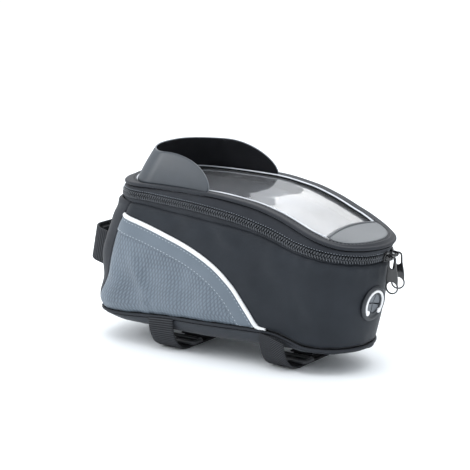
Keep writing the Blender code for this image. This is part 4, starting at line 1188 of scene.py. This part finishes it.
def window_sheet():
    """Clear sheet under the frame, very slightly rippled, with a welded edge drawn as a pale strip
    whose colour is a painted highlight.
    """
    first, last = (inset_at(RIM_PLAN, x, WINDOW_INSET) for x in (-108.5, 72.3))
    rows = []
    for s in columns(first, last, 70):
        edge = inset_point(RIM_PLAN, s, WINDOW_INSET)
        row = []
        for y in columns(edge.y, -edge.y, 33):
            fade = max(1.0 - (y / edge.y) ** 4, 0.0)
            ripple = 0.12 * math.sin(edge.x / 9.0 + y / 14.0)
            ripple += 0.08 * math.sin(y / 6.0 - edge.x / 17.0)
            row.append((edge.x, y, window_height(edge.x, y) + ripple * fade))
        rows.append(row)
    cloth_piece("window_sheet", rows, VINYL, "lid", "window", "window", flip=True, thickness=0.45)
    # pale strip round the welded edge: a painted highlight
    places = both_sides(columns(inset_at(RIM_PLAN, PATCH_FRONT + 1.5, EDGE_HIGHLIGHT_INSET), 1.0, 120))
    line = [tuple(lid_point(s, EDGE_HIGHLIGHT_INSET, 0.15)) for s in places]
    guide = [(*plan_normal(RIM_PLAN, s), 0.0) for s in places]
    section = ((0.75, -0.35), (0.85, 0.0), (0.4, 0.35), (-0.4, 0.35), (-0.85, 0.0), (-0.75, -0.35))
    cord_piece("window_edge_highlight", line, guide, section, EDGE_HIGHLIGHT, "lid", "window")


PATCH_FRONT = -88.0
PATCH_BULGE = 3.5
PATCH_ROWS = 14


def patch_front(y):
    """x of the rear patch's curved front edge."""
    return PATCH_FRONT + PATCH_BULGE * (1.0 - (y / 31.0) ** 2)


def rear_patch():
    """Lens-shaped cloth patch at the window's rear, softly domed, with a stitched front hem."""
    end = inset_at(RIM_PLAN, PATCH_FRONT - 2.0, 6.2)
    rows = [[] for _ in range(PATCH_ROWS)]
    for s in columns(-end, end, 60):
        edge = inset_point(RIM_PLAN, s, rim_width(s) + 0.2)
        front = patch_front(edge.y)
        for row, t in zip(rows, columns(0.0, 1.0, PATCH_ROWS)):
            x = front + (edge.x - front) * t
            dome = 0.55 * math.sin(math.pi * t) ** 0.7 if 0 < t < 1 else 0.0
            row.append((x, edge.y, lid_top(x, edge.y) - 0.15 + dome * (1.0 - (s / end) ** 4)))
    cloth_piece("patch_cloth", rows, PATCH_CLOTH, "lid", "dark_fabric", "rear_patch",
                thickness=0.6)
    half = inset_point(RIM_PLAN, end, rim_width(end) + 0.2).y - 0.8
    line = [(patch_front(y) + 0.3, y, lid_top(patch_front(y), y) + 0.25)
            for y in columns(-half, half, 60)]
    section = ((-1.3, -0.45), (-1.3, 0.15), (-0.7, 0.35), (0.7, 0.35), (1.3, 0.1), (1.3, -0.45))
    cord_piece("patch_hem", line, (1.0, 0.0, 0.0), section, PATCH_CLOTH, "lid", "dark_fabric")
    seam = [(x - 0.75, y, z + 0.33) for x, y, z in line]
    stitches("patch_stitches", seam, upwards, (2.0, 1.35, 0.22), DARK_THREAD, "lid",
             "dark_fabric")


HOOD_END = -4.6
HOOD_PEAK = 41.0               # the top edge falls away behind this x
HOOD_HEIGHT = 21.2
HOOD_ROWS = 15


def hood_shell():
    """Thin formed sun hood: satin outside, matt black inside, pale cut edge."""
    start = inset_at(HOOD_BASE, HOOD_END + 0.4, 0.0)
    left = [start + (1.0 - start) * (1.0 - (1.0 - f) ** 1.3) for f in columns(0.0, 1.0, 90)]
    rows = [[] for _ in range(HOOD_ROWS)]
    for s in both_sides(left):
        base, top = plan_point(HOOD_BASE, s), plan_point(HOOD_TOP, s)
        behind = max(HOOD_PEAK - base.x, 0.0) / (HOOD_PEAK - HOOD_END)
        share = max(1.0 - behind ** 1.85, 0.0) ** 0.58
        foot = lid_top(base.x, base.y) + 0.5
        normal = plan_normal(HOOD_BASE, s)
        for row, f in zip(rows, columns(0.0, 1.0, HOOD_ROWS)):
            flat = base.lerp(top, f * share)
            bow = 0.5 * math.sin(math.pi * f) * share
            row.append((flat.x + normal.x * bow, flat.y + normal.y * bow,
                        foot + HOOD_HEIGHT * share * f))
    hood = sheet("hood_shell", to_grid(rows), [HOOD_OUTSIDE, HOOD_INSIDE, HOOD_EDGE])
    shell = thicken(hood, 0.9)
    shell.material_offset = 1
    shell.material_offset_rim = 2
    finished(hood, "lid", "hood_sheet", "hood")


# ---- phone pocket and lining -------------------------------------------------------------
PHONE_PAD_RISE = 1.2
PAD_THICKNESS = 2.4
PAD_END_SLIM = (0.45, 0.8, 0.95)  # thickness of a pad's first rows, as a share
QUILT = 14.0                   # spacing of the quilting
FLAP_HINGE = 56.0
FLAP_MOUTH = 38.0
LINING_MIDDLE = (-5.0, 0.0)


def pad_row(edge, end_slim, across):
    """Top and bottom points of a pad across the lid; edge is its left end."""
    middle = zip_height(edge.x) + PHONE_PAD_RISE + 0.5 * PAD_THICKNESS
    top, low = [], []
    for t in across:
        y = edge.y * (1.0 - 2.0 * t)
        side_slim = min(1.0, 0.45 + 0.55 * min(t, 1.0 - t) / 0.04)
        groove = (abs(math.sin(math.pi * (edge.x + y) / QUILT))
                  * abs(math.sin(math.pi * (edge.x - y) / QUILT)))
        half = 0.5 * PAD_THICKNESS * min(end_slim, side_slim)
        half *= 0.82 + 0.3 * min(groove * 2.2, 1.0)
        top.append((edge.x, y, middle + half))
        low.append((edge.x, y, middle - half))
    return top + low[::-1]


def pad(name, inset, ends, body, node, rows):
    """Quilted pad across the lid between two x positions, settled under a little pressure."""
    first, last = (inset_at(ZIP_PLAN, end, inset) for end in ends)
    across = [0.0, 0.012, 0.03] + columns(0.06, 0.94, 27) + [0.97, 0.988, 1.0]
    rings = []
    for index, s in enumerate(columns(first, last, rows)):
        at_end = min(index, rows - 1 - index)
        end_slim = PAD_END_SLIM[at_end] if at_end < len(PAD_END_SLIM) else 1.0
        rings.append(pad_row(inset_point(ZIP_PLAN, s, inset), end_slim, across))
    grid = np.array(rings)
    pinned = np.ones(grid.shape[:2], bool)
    width = len(across)
    pinned[2:-2, 2:width - 2] = False
    pinned[2:-2, width + 2:2 * width - 2] = False
    slack = grid.copy()
    slack[..., :2] *= PAD_SLACK
    moved = settle(grid, slack, pinned, 2.0, flip=True)
    grid = limited(grid, moved, -grid_normals(grid, True), 0.1, 0.35, 0.6)
    count = grid.shape[1]
    faces = grid_faces(rows, count, True, True)
    faces.append(tuple(range(count)))
    faces.append(tuple((rows - 1) * count + c for c in range(count))[::-1])
    obj = mesh_of(name, grid.reshape(-1, 3), faces, [PAD_CLOTH])
    face_outwards(obj)
    finished(obj, body, "lining", node)


def phone_pocket():
    """Padded floor of the phone pocket, and the flap in it."""
    pad("phone_cushion_rear", 5.2, (-103.0, FLAP_MOUTH - 0.4), "lid", "phone_pad_rear", 60)
    pad("phone_cushion_front", 5.2, (FLAP_HINGE + 0.4, 73.0), "lid", "phone_pad_front", 12)
    flap_ends = (FLAP_MOUTH + 0.1, FLAP_HINGE - 0.1)
    pad("pocket_flap", 8.8, flap_ends, "sleeve_flap", "sleeve_flap", 12)


def lining_cloth():
    """Loose inner cloth, hemmed to the lower zip tape, with soft pleats at its corners."""
    places = closed_columns(200)
    rows = rows_of(zip_point, places, ((-7.2, 2.7), (-7.4, 4.2), (-9.0, 5.7)))
    rows += rows_of(wall_point, places, [(f, 5.7) for f in columns(0.90, 0.05, 14)])
    for inset in (7.0, 10.0, 16.0):
        rows.append([(*inset_point(BASE_PLAN, s, inset), FLOOR_LEVEL + 3.8) for s in places])
    rows += [towards_spine(rows[-1], share) for share in (0.5, 1.0)]
    grid = to_grid(rows)
    lengths = run_lengths(grid[6], True)[:-1] / MM
    for r in range(4, 17):
        sag = math.sin(math.pi * (r - 3) / 14.0)
        ripple = ripples(lengths, (0.35, 8.0, 0.12 * r), (0.2, 3.1, 0.3 * r))
        flat = grid[r, :, :2] - LINING_MIDDLE
        flat /= np.linalg.norm(flat, axis=1, keepdims=True)
        room = 3.2 * np.array([smooth_step((x - 45.0) / 30.0) for x in grid[r, :, 0]])
        grid[r, :, :2] -= flat * (0.6 + room + (ripple + 0.35) * sag)[:, None]
    cloth_piece("lining_tub", grid, LINING, "root", "lining", "lining", closed=True,
                thickness=0.5, offset=1.0)


def hinge_cloth():
    """Cloth across the front, where the lid folds: it runs from the body to the lid."""
    profile = ((-7.4, 1.5), (-5.5, 0.8), (-3.5, 0.5), (-1.8, 0.9), (-0.8, 1.1), (0.0, 1.2),
               (0.8, 1.1), (1.8, 0.9), (3.0, 0.7), (3.9, 1.2))
    rows = rows_of(zip_point, both_sides(columns(ZIP_END + 0.018, 1.0, 12)), profile)
    strip = sheet("hinge_cloth", to_grid(rows), [DARK], thickness=0.5)
    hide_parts("lid_hinge_strip")
    middle = to_world([zip_point(1.0, 0.0, 1.0)])[0]
    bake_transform(strip)


# ---- cable port --------------------------------------------------------------------------
COLLAR_SIDES, BUD_SIDES = 96, 24
FLAP_RADIUS, HALF_SLIT = 6.6, 0.34
RING_ENDS = (math.radians(-42.0), math.radians(222.0))


def port_place(x, y, out):
    """Point by the port: x to the bag's right as seen from behind, y up the wall."""
    up = unit(np.cross((0.0, 1.0, 0.0), PORT_AXIS))
    left = np.cross(PORT_AXIS, up)
    return PORT_CENTRE + left * x + up * y + PORT_AXIS * out


def port_collar():
    """Moulded collar turned about the port's axis, from (radius, height) points."""
    profile = ((6.2, 0.5), (6.2, 1.35), (6.5, 1.7), (6.95, 1.75), (7.5, 1.45), (8.0, 1.2),
               (8.6, 1.2), (9.0, 1.5), (9.5, 1.95), (10.3, 2.0), (10.9, 1.75), (11.4, 1.3),
               (11.6, 0.8), (11.55, 0.2), (7.3, 0.1), (7.2, -6.0), (6.6, -6.0), (6.5, 0.1))
    vertices = []
    for x, y in circle(1.0, COLLAR_SIDES):
        vertices += [port_place(r * x, r * y, h) for r, h in profile]
    faces = tube_faces(COLLAR_SIDES, len(profile), closed=True)
    obj = mesh_of("port_collar", vertices, faces, [RUBBER])
    face_outwards(obj)
    finished(obj, "root", "rubber", "cable_port_grommet")


def port_flaps():
    """Four rubber flaps between the two slits, their tips pressed slightly in."""
    vertices, faces = [], []
    for quarter in range(4):
        start = math.pi * (0.5 * quarter + 0.07)
        faces += [tuple(len(vertices) + v for v in face) for face in grid_faces(9, 13, False, True)]
        for r in columns(0.35, FLAP_RADIUS, 9):
            margin = min(HALF_SLIT / r, 0.3)
            dip = 0.9 * (1.0 - r / FLAP_RADIUS) ** 1.5
            for angle in columns(margin, 0.5 * math.pi - margin, 13):
                edge = 0.25 * (abs(angle / (0.25 * math.pi) - 1.0)) ** 6
                x, y = r * math.cos(start + angle), r * math.sin(start + angle)
                vertices.append(port_place(x, y, 0.95 - dip - edge))
    obj = mesh_of("port_flaps", vertices, faces, [PALE_RUBBER])
    thicken(obj, 0.9)
    finished(obj, "root", "rubber")


def port_bud(name, angle):
    """Domed printed dot at one end of the ring."""
    x, y = 7.9 * math.cos(angle), 7.9 * math.sin(angle)
    profile = ((1.75, 1.2), (1.75, 1.9), (1.45, 2.3), (0.8, 2.5), (0.01, 2.55))
    vertices = [port_place(x + px, y + py, height)
                for radius, height in profile for px, py in circle(radius, BUD_SIDES)]
    faces = tube_faces(len(profile), BUD_SIDES)
    finished(mesh_of(name, vertices, faces, [PRINT]), "root", "print")


def cable_port():
    """Rubber port with a generic printed mark: an open ring that ends in two dots."""
    port_collar()
    port_flaps()
    line = [port_place(8.3 * math.cos(a), 8.3 * math.sin(a), 1.5) for a in columns(*RING_ENDS, 90)]
    cord_piece("port_ring", line, PORT_AXIS, circle(0.95, 12, 0.9), PRINT, "root", "print",
               "cable_port_mark")
    for angle, side in zip(RING_ENDS, ("right", "left")):
        port_bud("port_bud_" + side, angle)


# ---- straps ------------------------------------------------------------------------------
RIB_STEPS = 5.0                # points along one rib
STRAP_WIDTH = 20.0
WEBBING = 1.5                  # thickness of the sewn straps
TAIL_WEBBING = 1.1             # and of their loose ends
TAIL_START = 27.0              # from the strap's side to the middle of its tail's joint
STRAPS = ((31.5, "front"), (-52.5, "rear"))
FRONT_STRAP_HEIGHT = 53.5
PATCH_THICKNESS = 0.7
LOOP_RISE, HOOK_RISE = 0.65, 1.65
TAIL_RISE = 2.9                # from the webbing's inner face to the tail's middle
STEM_DEPTH = 20.5              # from the front panel to the loop's inner face
STEM_SHIFT = 4.4               # the padded front carries its strap this far forwards


def webbing(name, path, width_axis, size, node, body="root", twill=False, fit=None):
    """Woven strap along a path, with its cross ribs and rolled edges as real relief.

    size is the width and the thickness; fit moves each point to its last place.
    """
    width, thickness = size
    line = smooth_path(path, WEB_PITCH / RIB_STEPS)
    half, thin = 0.5 * width - 0.25, 0.5 * thickness - 0.12
    top = [(y, thin) for y in columns(half - 0.3, -half + 0.3, 19)]
    side, rim = half + 0.2, 0.25 * thickness
    section = top + [(-side, rim), (-side, -rim)] + [(-y, -z) for y, z in top]
    section += [(side, -rim), (side, rim)]
    vertices, cloth = [], []
    for i, (spot, (_t, a, b)) in enumerate(zip(line, path_frames(line, width_axis))):
        for y, z in section:
            phase = i / RIB_STEPS + (abs(y) / WEB_PITCH if twill else 0.0)
            relief = 0.19 * math.sin(2 * math.pi * phase) + 0.03 * math.sin(2 * math.pi * y / 0.9)
            lift = z + math.copysign(relief, z) if abs(y) < half else z
            point = spot + a * y + b * lift
            vertices.append(fit(point) if fit else point)
            cloth.append((abs(y) * MM if twill else 0.0, i * WEB_PITCH / RIB_STEPS * MM))
    faces = tube_faces(len(line), len(section))
    obj = mesh_of(name, vertices, faces, [WEB_RIBS], [cloth[v] for face in faces for v in face])
    face_outwards(obj)
    finished(obj, body, "webbing", node)


def fuzzy_patch(name, centre, size, width_axis, up, body, node):
    """Patch of hook or loop, with soft rounded edges; size is across, along and thick."""
    across, along, thick = size
    outline = rounded_ring(along, across, 1.2, 5)
    mesh = outline_plate([outline], thick, 0.25, centre, np.cross(width_axis, up), up)
    finished(joined_mesh(name, [mesh], [HOOK_LOOP]), body, "hook_loop", node)


def patch_pair(node, face, up, width_axis, loop_ends, hook_ends, width, tail):
    """Loop patch on a strap and hook patch under its tail, between y ends from the face."""
    for kind, rise, ends, across, body in (("loop", LOOP_RISE, loop_ends, width, "root"),
                                           ("hook", HOOK_RISE, hook_ends, width - 1.0, tail)):
        centre = face + up * rise + Vector((0.0, 0.5 * (ends[0] + ends[1]), 0.0))
        size = (across, abs(ends[0] - ends[1]), PATCH_THICKNESS)
        fuzzy_patch("%s_%s_fuzz" % (node, kind), centre, size, width_axis, up, body,
                    "%s_%s_patch" % (node, kind))


def base_half(x):
    """Half width of the base's outline at one place along the bag."""
    s = crossing(lambda share: plan_point(BASE_PLAN, share).x, x, 0.3 * REAR_SHARE, 0.95)
    return plan_point(BASE_PLAN, s).y


def bottom_strap_path(x):
    """Middle line of a strap: down from the seam and across the bag."""
    half = base_half(x + 0.5 * STRAP_WIDTH) + 1.4
    top = height_along(BASE_SEAM, x) - 0.6
    shape = ((0.0, 1.0), (0.2, 0.80), (1.6, 0.52), (5.0, 0.25), (10.5, 0.07), (17.0, 0.0))
    floor = 0.5 * WEBBING
    left = [(x, half - inset, floor + (top - floor) * share) for inset, share in shape]
    middle = [(x, y, floor) for y in columns(left[-1][1] - 6.0, 6.0 - left[-1][1], 5)]
    right = [(px, -py, pz) for px, py, pz in reversed(left)]
    return left + middle + right


def rounded_ring(length, width, radius, per_corner):
    """Outline of a rounded rectangle."""
    points = []
    for x_side, y_side, start in ((1, 1, 0), (-1, 1, 90), (-1, -1, 180), (1, -1, 270)):
        for angle in columns(math.radians(start), math.radians(start + 90), per_corner):
            points.append((x_side * (0.5 * length - radius) + radius * math.cos(angle),
                           y_side * (0.5 * width - radius) + radius * math.sin(angle)))
    return points


def seam_fit(x, path):
    """A function that makes a strap's top follow the slanting base seam."""
    top, floor = path[0][2], path[len(path) // 2][2]
    half, seam = base_half(x + 0.5 * STRAP_WIDTH), height_along(BASE_SEAM, x)

    def fit(vertex):
        share = min(max((vertex[2] - floor) / (top - floor), 0.0), 1.0)
        inwards = math.copysign(share * (base_half(vertex[0]) - half), vertex[1])
        rise = share * (height_along(BASE_SEAM, vertex[0]) - seam)
        return np.array((vertex[0], vertex[1] + inwards, vertex[2] + rise))
    return fit


def bottom_strap(x, label):
    """Loop under the base, sewn into its seam, with the plastic keeper of its tail."""
    path = bottom_strap_path(x)
    node = label + "_bottom_strap"
    webbing(label + "_strap_webbing", path, (1, 0, 0), (STRAP_WIDTH, WEBBING), node,
            twill=label == "rear", fit=seam_fit(x, path))
    centre = np.array((x, path[0][1] - TAIL_START + 2.6, WEBBING + 1.8))
    line = [centre + (a, b, 0.0) for a, b in rounded_ring(STRAP_WIDTH + 4.4, 9.0, 2.2, 8)]
    cord_piece(label + "_strap_keeper", line, (0.0, 0.0, 1.0), circle(1.5, 12), RING_PLASTIC,
               "root", "plastic", node + "_ring", closed=True)


def stem_strap():
    """Loop on the front, with its tail held down inside by hook and loop."""
    top, bottom = wall_point(1.0, 1.0), wall_point(1.0, 0.0)
    f = (FRONT_STRAP_HEIGHT - bottom.z) / (top.z - bottom.z)
    lean = (wall_point(1.0, f + 0.15) - wall_point(1.0, f - 0.15)).normalized()
    out = Vector((lean.z, 0.0, -lean.x)).normalized()
    panel = wall_point(1.0, f) + out * STEM_SHIFT
    plan = [(16.0, 1.6), (15.6, 6.0)]
    for angle in columns(0.0, 0.5 * math.pi, 8):
        plan.append((5.5 + 9.8 * math.cos(angle), 11.45 + 9.8 * math.sin(angle)))
    plan += [(-y, depth) for y, depth in reversed(plan)]
    path = [tuple(panel + Vector((0, y, 0)) + out * depth) for y, depth in plan]
    webbing("stem_strap_webbing", path, tuple(lean), (24.0, WEBBING), "stem_strap")
    middle = panel + out * (STEM_DEPTH - TAIL_RISE)
    tail = [tuple(middle + Vector((0, y, 0))) for y in columns(7.9, -4.6, 5)]
    webbing("stem_tail_webbing", tail, tuple(lean), (20.0, TAIL_WEBBING), "stem_strap_tail",
            "stem_strap_tail")
    patch_pair("stem_strap", panel + out * STEM_DEPTH, out * -1.0, lean, (8.0, -8.5),
               (6.5, -3.4), 19.0, "stem_strap_tail")


def strap_tail(x, label):
    """Loose end of a bottom strap, held down by hook and loop."""
    start = bottom_strap_path(x)[0][1] - TAIL_START
    line = [(x, start - reach, WEBBING + TAIL_RISE) for reach in columns(6.3, 23.9, 5)]
    node, body = label + "_bottom_strap", label + "_strap_tail"
    webbing(label + "_tail_webbing", line, (1, 0, 0), (17.0, TAIL_WEBBING), node + "_tail", body)
    patch_pair(node, Vector((x, start, WEBBING)), Vector((0, 0, 1)), Vector((1, 0, 0)),
               (-6.2, -26.0), (-7.7, -22.5), 16.0, body)


# ---- sliders and pulls -------------------------------------------------------------------
SLIDERS = (("left", -4.0), ("right", -19.0))
SLIDER_FACE = 1.6              # outer face of the slider's plates, from the zip's outline
BRIDGE_RISE = 3.3
EYE_CENTRE = 25.0 - 2.15 - 4.5  # from the bridge's wire to the middle of the pull's eye


def arc_frame(angle):
    """Place on the zip's round rear end, with the outward and tangent directions."""
    forward = np.array((math.cos(ZIP_TILT), 0.0, math.sin(ZIP_TILT)))
    turn = math.radians(angle)
    left = np.array((0.0, 1.0, 0.0))
    outward = forward * -math.cos(turn) + left * math.sin(turn)
    tangent = forward * math.sin(turn) + left * math.cos(turn)
    centre = np.array((ZIP_PLAN["rear"], 0.0, zip_height(ZIP_PLAN["rear"])))
    return centre + outward * ZIP_PLAN["end"][1], outward, tangent


def outline_plate(outlines, thickness, bevel, origin, x_axis, z_axis):
    """Plate with rounded edges from flat outlines, the later ones holes, set in its place."""
    curve = bpy.data.curves.new("outline", "CURVE")
    curve.dimensions = "2D"
    curve.fill_mode = "BOTH"
    curve.extrude = (0.5 * thickness - bevel) * MM
    curve.bevel_depth = bevel * MM
    curve.bevel_resolution = 3
    curve.offset = -bevel * MM
    for outline in outlines:
        poly_spline(curve, [(x * MM, y * MM, 0.0) for x, y in outline], cyclic=True)
    mesh = curve_mesh(curve)
    z_dir = Vector(z_axis).normalized()
    y_dir = z_dir.cross(Vector(x_axis)).normalized()
    turn = Matrix((y_dir.cross(z_dir), y_dir, z_dir)).transposed().to_4x4()
    mesh.transform(Matrix.Translation(Vector(to_world([origin])[0])) @ turn)
    return mesh


def joined_mesh(name, meshes, materials):
    """One object from several meshes."""
    work = bmesh.new()
    for mesh in meshes:
        work.from_mesh(mesh)
        bpy.data.meshes.remove(mesh)
    whole = bpy.data.meshes.new(name)
    work.to_mesh(whole)
    work.free()
    whole.shade_smooth()
    return add_object(name, whole, materials)


def arc(cx, radius, start, stop, count):
    """Points of an arc round (cx, 0), in degrees."""
    return [(cx + radius * math.cos(math.radians(a)), radius * math.sin(math.radians(a)))
            for a in columns(start, stop, count)]


def slider_plate():
    """Outline of the slider's plate: broad where the halves part, narrower behind."""
    right = [(3.9, 0.9), (3.7, 2.0), (2.6, 2.9), (0.8, 3.1), (-1.6, 2.5), (-3.2, 2.0), (-4.0, 1.2)]
    return right + [(x, -y) for x, y in reversed(right)]


def slider(label, angle):
    """Slider body of two plates and two wings, with the bridge that carries the pull."""
    spot, outward, tangent = arc_frame(angle)
    up = np.cross(tangent, outward)
    meshes = [outline_plate([slider_plate()], thick, 0.28, spot + outward * face, tangent, outward)
              for face, thick in ((SLIDER_FACE + 0.45, 0.9), (-3.2, 0.8))]
    wing = [(-2.4, -0.9), (2.4, -0.9), (2.4, 0.9), (-2.4, 0.9)]
    meshes += [outline_plate([wing], 0.5, 0.12, spot + outward * 0.9 + up * rise, tangent, up)
               for rise in (2.85, -2.85)]
    body = "slider_" + label
    obj = joined_mesh("zip_slider_" + label, meshes, [METAL])
    finished(obj, body, "zip_metal", body)
    shape = ((-3.3, 0.0), (-3.25, 0.5), (-2.7, 0.85), (-1.5, 1.0), (0.0, 1.04), (1.5, 1.0),
             (2.7, 0.85), (3.25, 0.5), (3.3, 0.0))
    root = SLIDER_FACE + 0.6
    line = [spot + tangent * x + outward * (root + 3.4 * share) for x, share in shape]
    cord_piece("slider_bridge_" + label, smooth_path(line, 0.35), up, circle(0.95, 14, 0.6),
               METAL, body, "zip_metal")


def pull(label, angle):
    """Pull tab: slot at the top round the bridge, waist, and a thin round eye."""
    spot, outward, tangent = arc_frame(angle)
    wire = spot + outward * (SLIDER_FACE + 0.9 + BRIDGE_RISE)
    down = np.array((0.0, 0.0, -1.0))
    down = unit(down - tangent * np.dot(tangent, down))
    waist = [(4.9, -2.9), (8.5, -3.5), (12.5, -4.1)]
    outline = arc(0.75, 2.8, 90, 270, 19) + waist + arc(EYE_CENTRE, 4.45, -115, 115, 33)
    outline += [(x, -y) for x, y in reversed(waist)]
    slot = arc(0.75, 1.65, 90, 270, 15) + arc(4.8, 1.65, -90, 90, 15)
    hole = arc(EYE_CENTRE, 3.5, 0, 350, 36)
    mesh = outline_plate([outline, slot, hole], 1.2, 0.4, wire, down, tangent)
    obj = joined_mesh("zip_pull_" + label, [mesh], [METAL])
    finished(obj, "pull_" + label, "zip_metal", "pull_" + label)


# ---- CAD parts that keep their shape -----------------------------------------------------
def finish_cad_parts():
    """Materials for the stiff and foam parts, which keep their CAD shape."""
    kept = {"base_board": BOARD, "cable_port_washer": PLASTIC, "zip_stop_left": METAL,
            "zip_stop_right": METAL, "foam_front": FOAM, "foam_rear": FOAM, "foam_left": FOAM,
            "foam_right": FOAM}
    for name, material in kept.items():
        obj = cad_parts[name]
        obj.data.materials.clear()
        obj.data.materials.append(material)


# ---- studio ------------------------------------------------------------------------------
LIGHT_TARGET = (0.0, 0.0, 0.07)
FLOOR_REACH = 6.0
HORIZON_STRENGTH = 0.57
CAMERA_AZIMUTH = 215.6
CAMERA_ELEVATION = 12.8
CAMERA_DISTANCE = 1.1
CAMERA_TARGET = (0.0064, 0.0, 0.0746)
CAMERA_LENS = 127.7


def aimed(name, data, target, azimuth, elevation, distance):
    """Object that looks at a target from a compass direction, in degrees."""
    a, e = math.radians(azimuth), math.radians(elevation)
    away = Vector((math.sin(a) * math.cos(e), -math.cos(a) * math.cos(e), math.sin(e)))
    obj = bpy.data.objects.new(name, data)
    obj.location = Vector(target) + away * distance
    obj.rotation_euler = away.to_track_quat("Z", "Y").to_euler()
    bpy.context.scene.collection.objects.link(obj)
    return obj


def studio_light(name, size, power, azimuth, elevation, distance):
    """Rectangular soft light aimed at the bag."""
    data = bpy.data.lights.new(name, "AREA")
    data.shape = "RECTANGLE"
    data.size, data.size_y = size
    data.energy = power
    aimed(name, data, LIGHT_TARGET, azimuth, elevation, distance)


def studio():
    """White paper floor, a pale sky that brightens upwards, and three soft lights."""
    data = bpy.data.meshes.new("floor")
    corners = [(x * FLOOR_REACH, y * FLOOR_REACH, 0.0)
               for x, y in ((-1, -1), (1, -1), (1, 1), (-1, 1))]
    data.from_pydata(corners, [], [(0, 1, 2, 3)])
    paper = new_material("studio_paper", 0.9, Base_Color=(0.91, 0.94, 0.965, 1.0))[0]
    add_object("floor", data, [paper])
    world = bpy.data.worlds.new("studio")
    world.use_nodes = True
    tree = world.node_tree
    place = add_node(tree, "ShaderNodeTexCoord").outputs["Generated"]
    height = add_node(tree, "ShaderNodeSeparateXYZ", {0: place}).outputs[2]
    strength = maths(tree, "MULTIPLY_ADD", maths(tree, "MAXIMUM", height), 1.0)
    strength.node.inputs[2].default_value = HORIZON_STRENGTH
    sky = tree.nodes["Background"]
    sky.inputs["Color"].default_value = (0.95, 0.975, 1.0, 1.0)
    tree.links.new(strength, sky.inputs["Strength"])
    bpy.context.scene.world = world
    studio_light("overhead", (1.2, 1.2), 8.5, 200.0, 80.0, 1.7)
    studio_light("behind_the_bag", (2.2, 1.1), 14.0, 28.0, 40.0, 1.9)
    studio_light("side_fill", (0.7, 0.7), 9.0, 128.0, 28.0, 1.8)
    bpy.context.scene.view_settings.view_transform = "Standard"


def camera():
    """Camera behind the bag and to its left, a little above it."""
    data = bpy.data.cameras.new("camera")
    data.lens = CAMERA_LENS
    data.sensor_width = 36.0
    data.clip_start = 0.01
    bpy.context.scene.camera = aimed("camera", data, CAMERA_TARGET, CAMERA_AZIMUTH,
                                     CAMERA_ELEVATION, CAMERA_DISTANCE)


# ---- the bag -----------------------------------------------------------------------------
body_panels()
for bag_side, side_name in ((1, "left"), (-1, "right")):
    strip_and_hem(bag_side, side_name)
base_cloth()
zip_tapes()
zip_teeth(-1, "lower", "root")
zip_teeth(1, "upper", "lid")
gusset_cloth()
rim_fold()
window_sheet()
rear_patch()
hood_shell()
phone_pocket()
lining_cloth()
hinge_cloth()
cable_port()
for strap_x, strap_label in STRAPS:
    bottom_strap(strap_x, strap_label)
stem_strap()
for strap_x, strap_label in STRAPS:
    strap_tail(strap_x, strap_label)
for slider_label, slider_angle in SLIDERS:
    slider(slider_label, slider_angle)
    pull(slider_label, slider_angle)
finish_cad_parts()
studio()
camera()
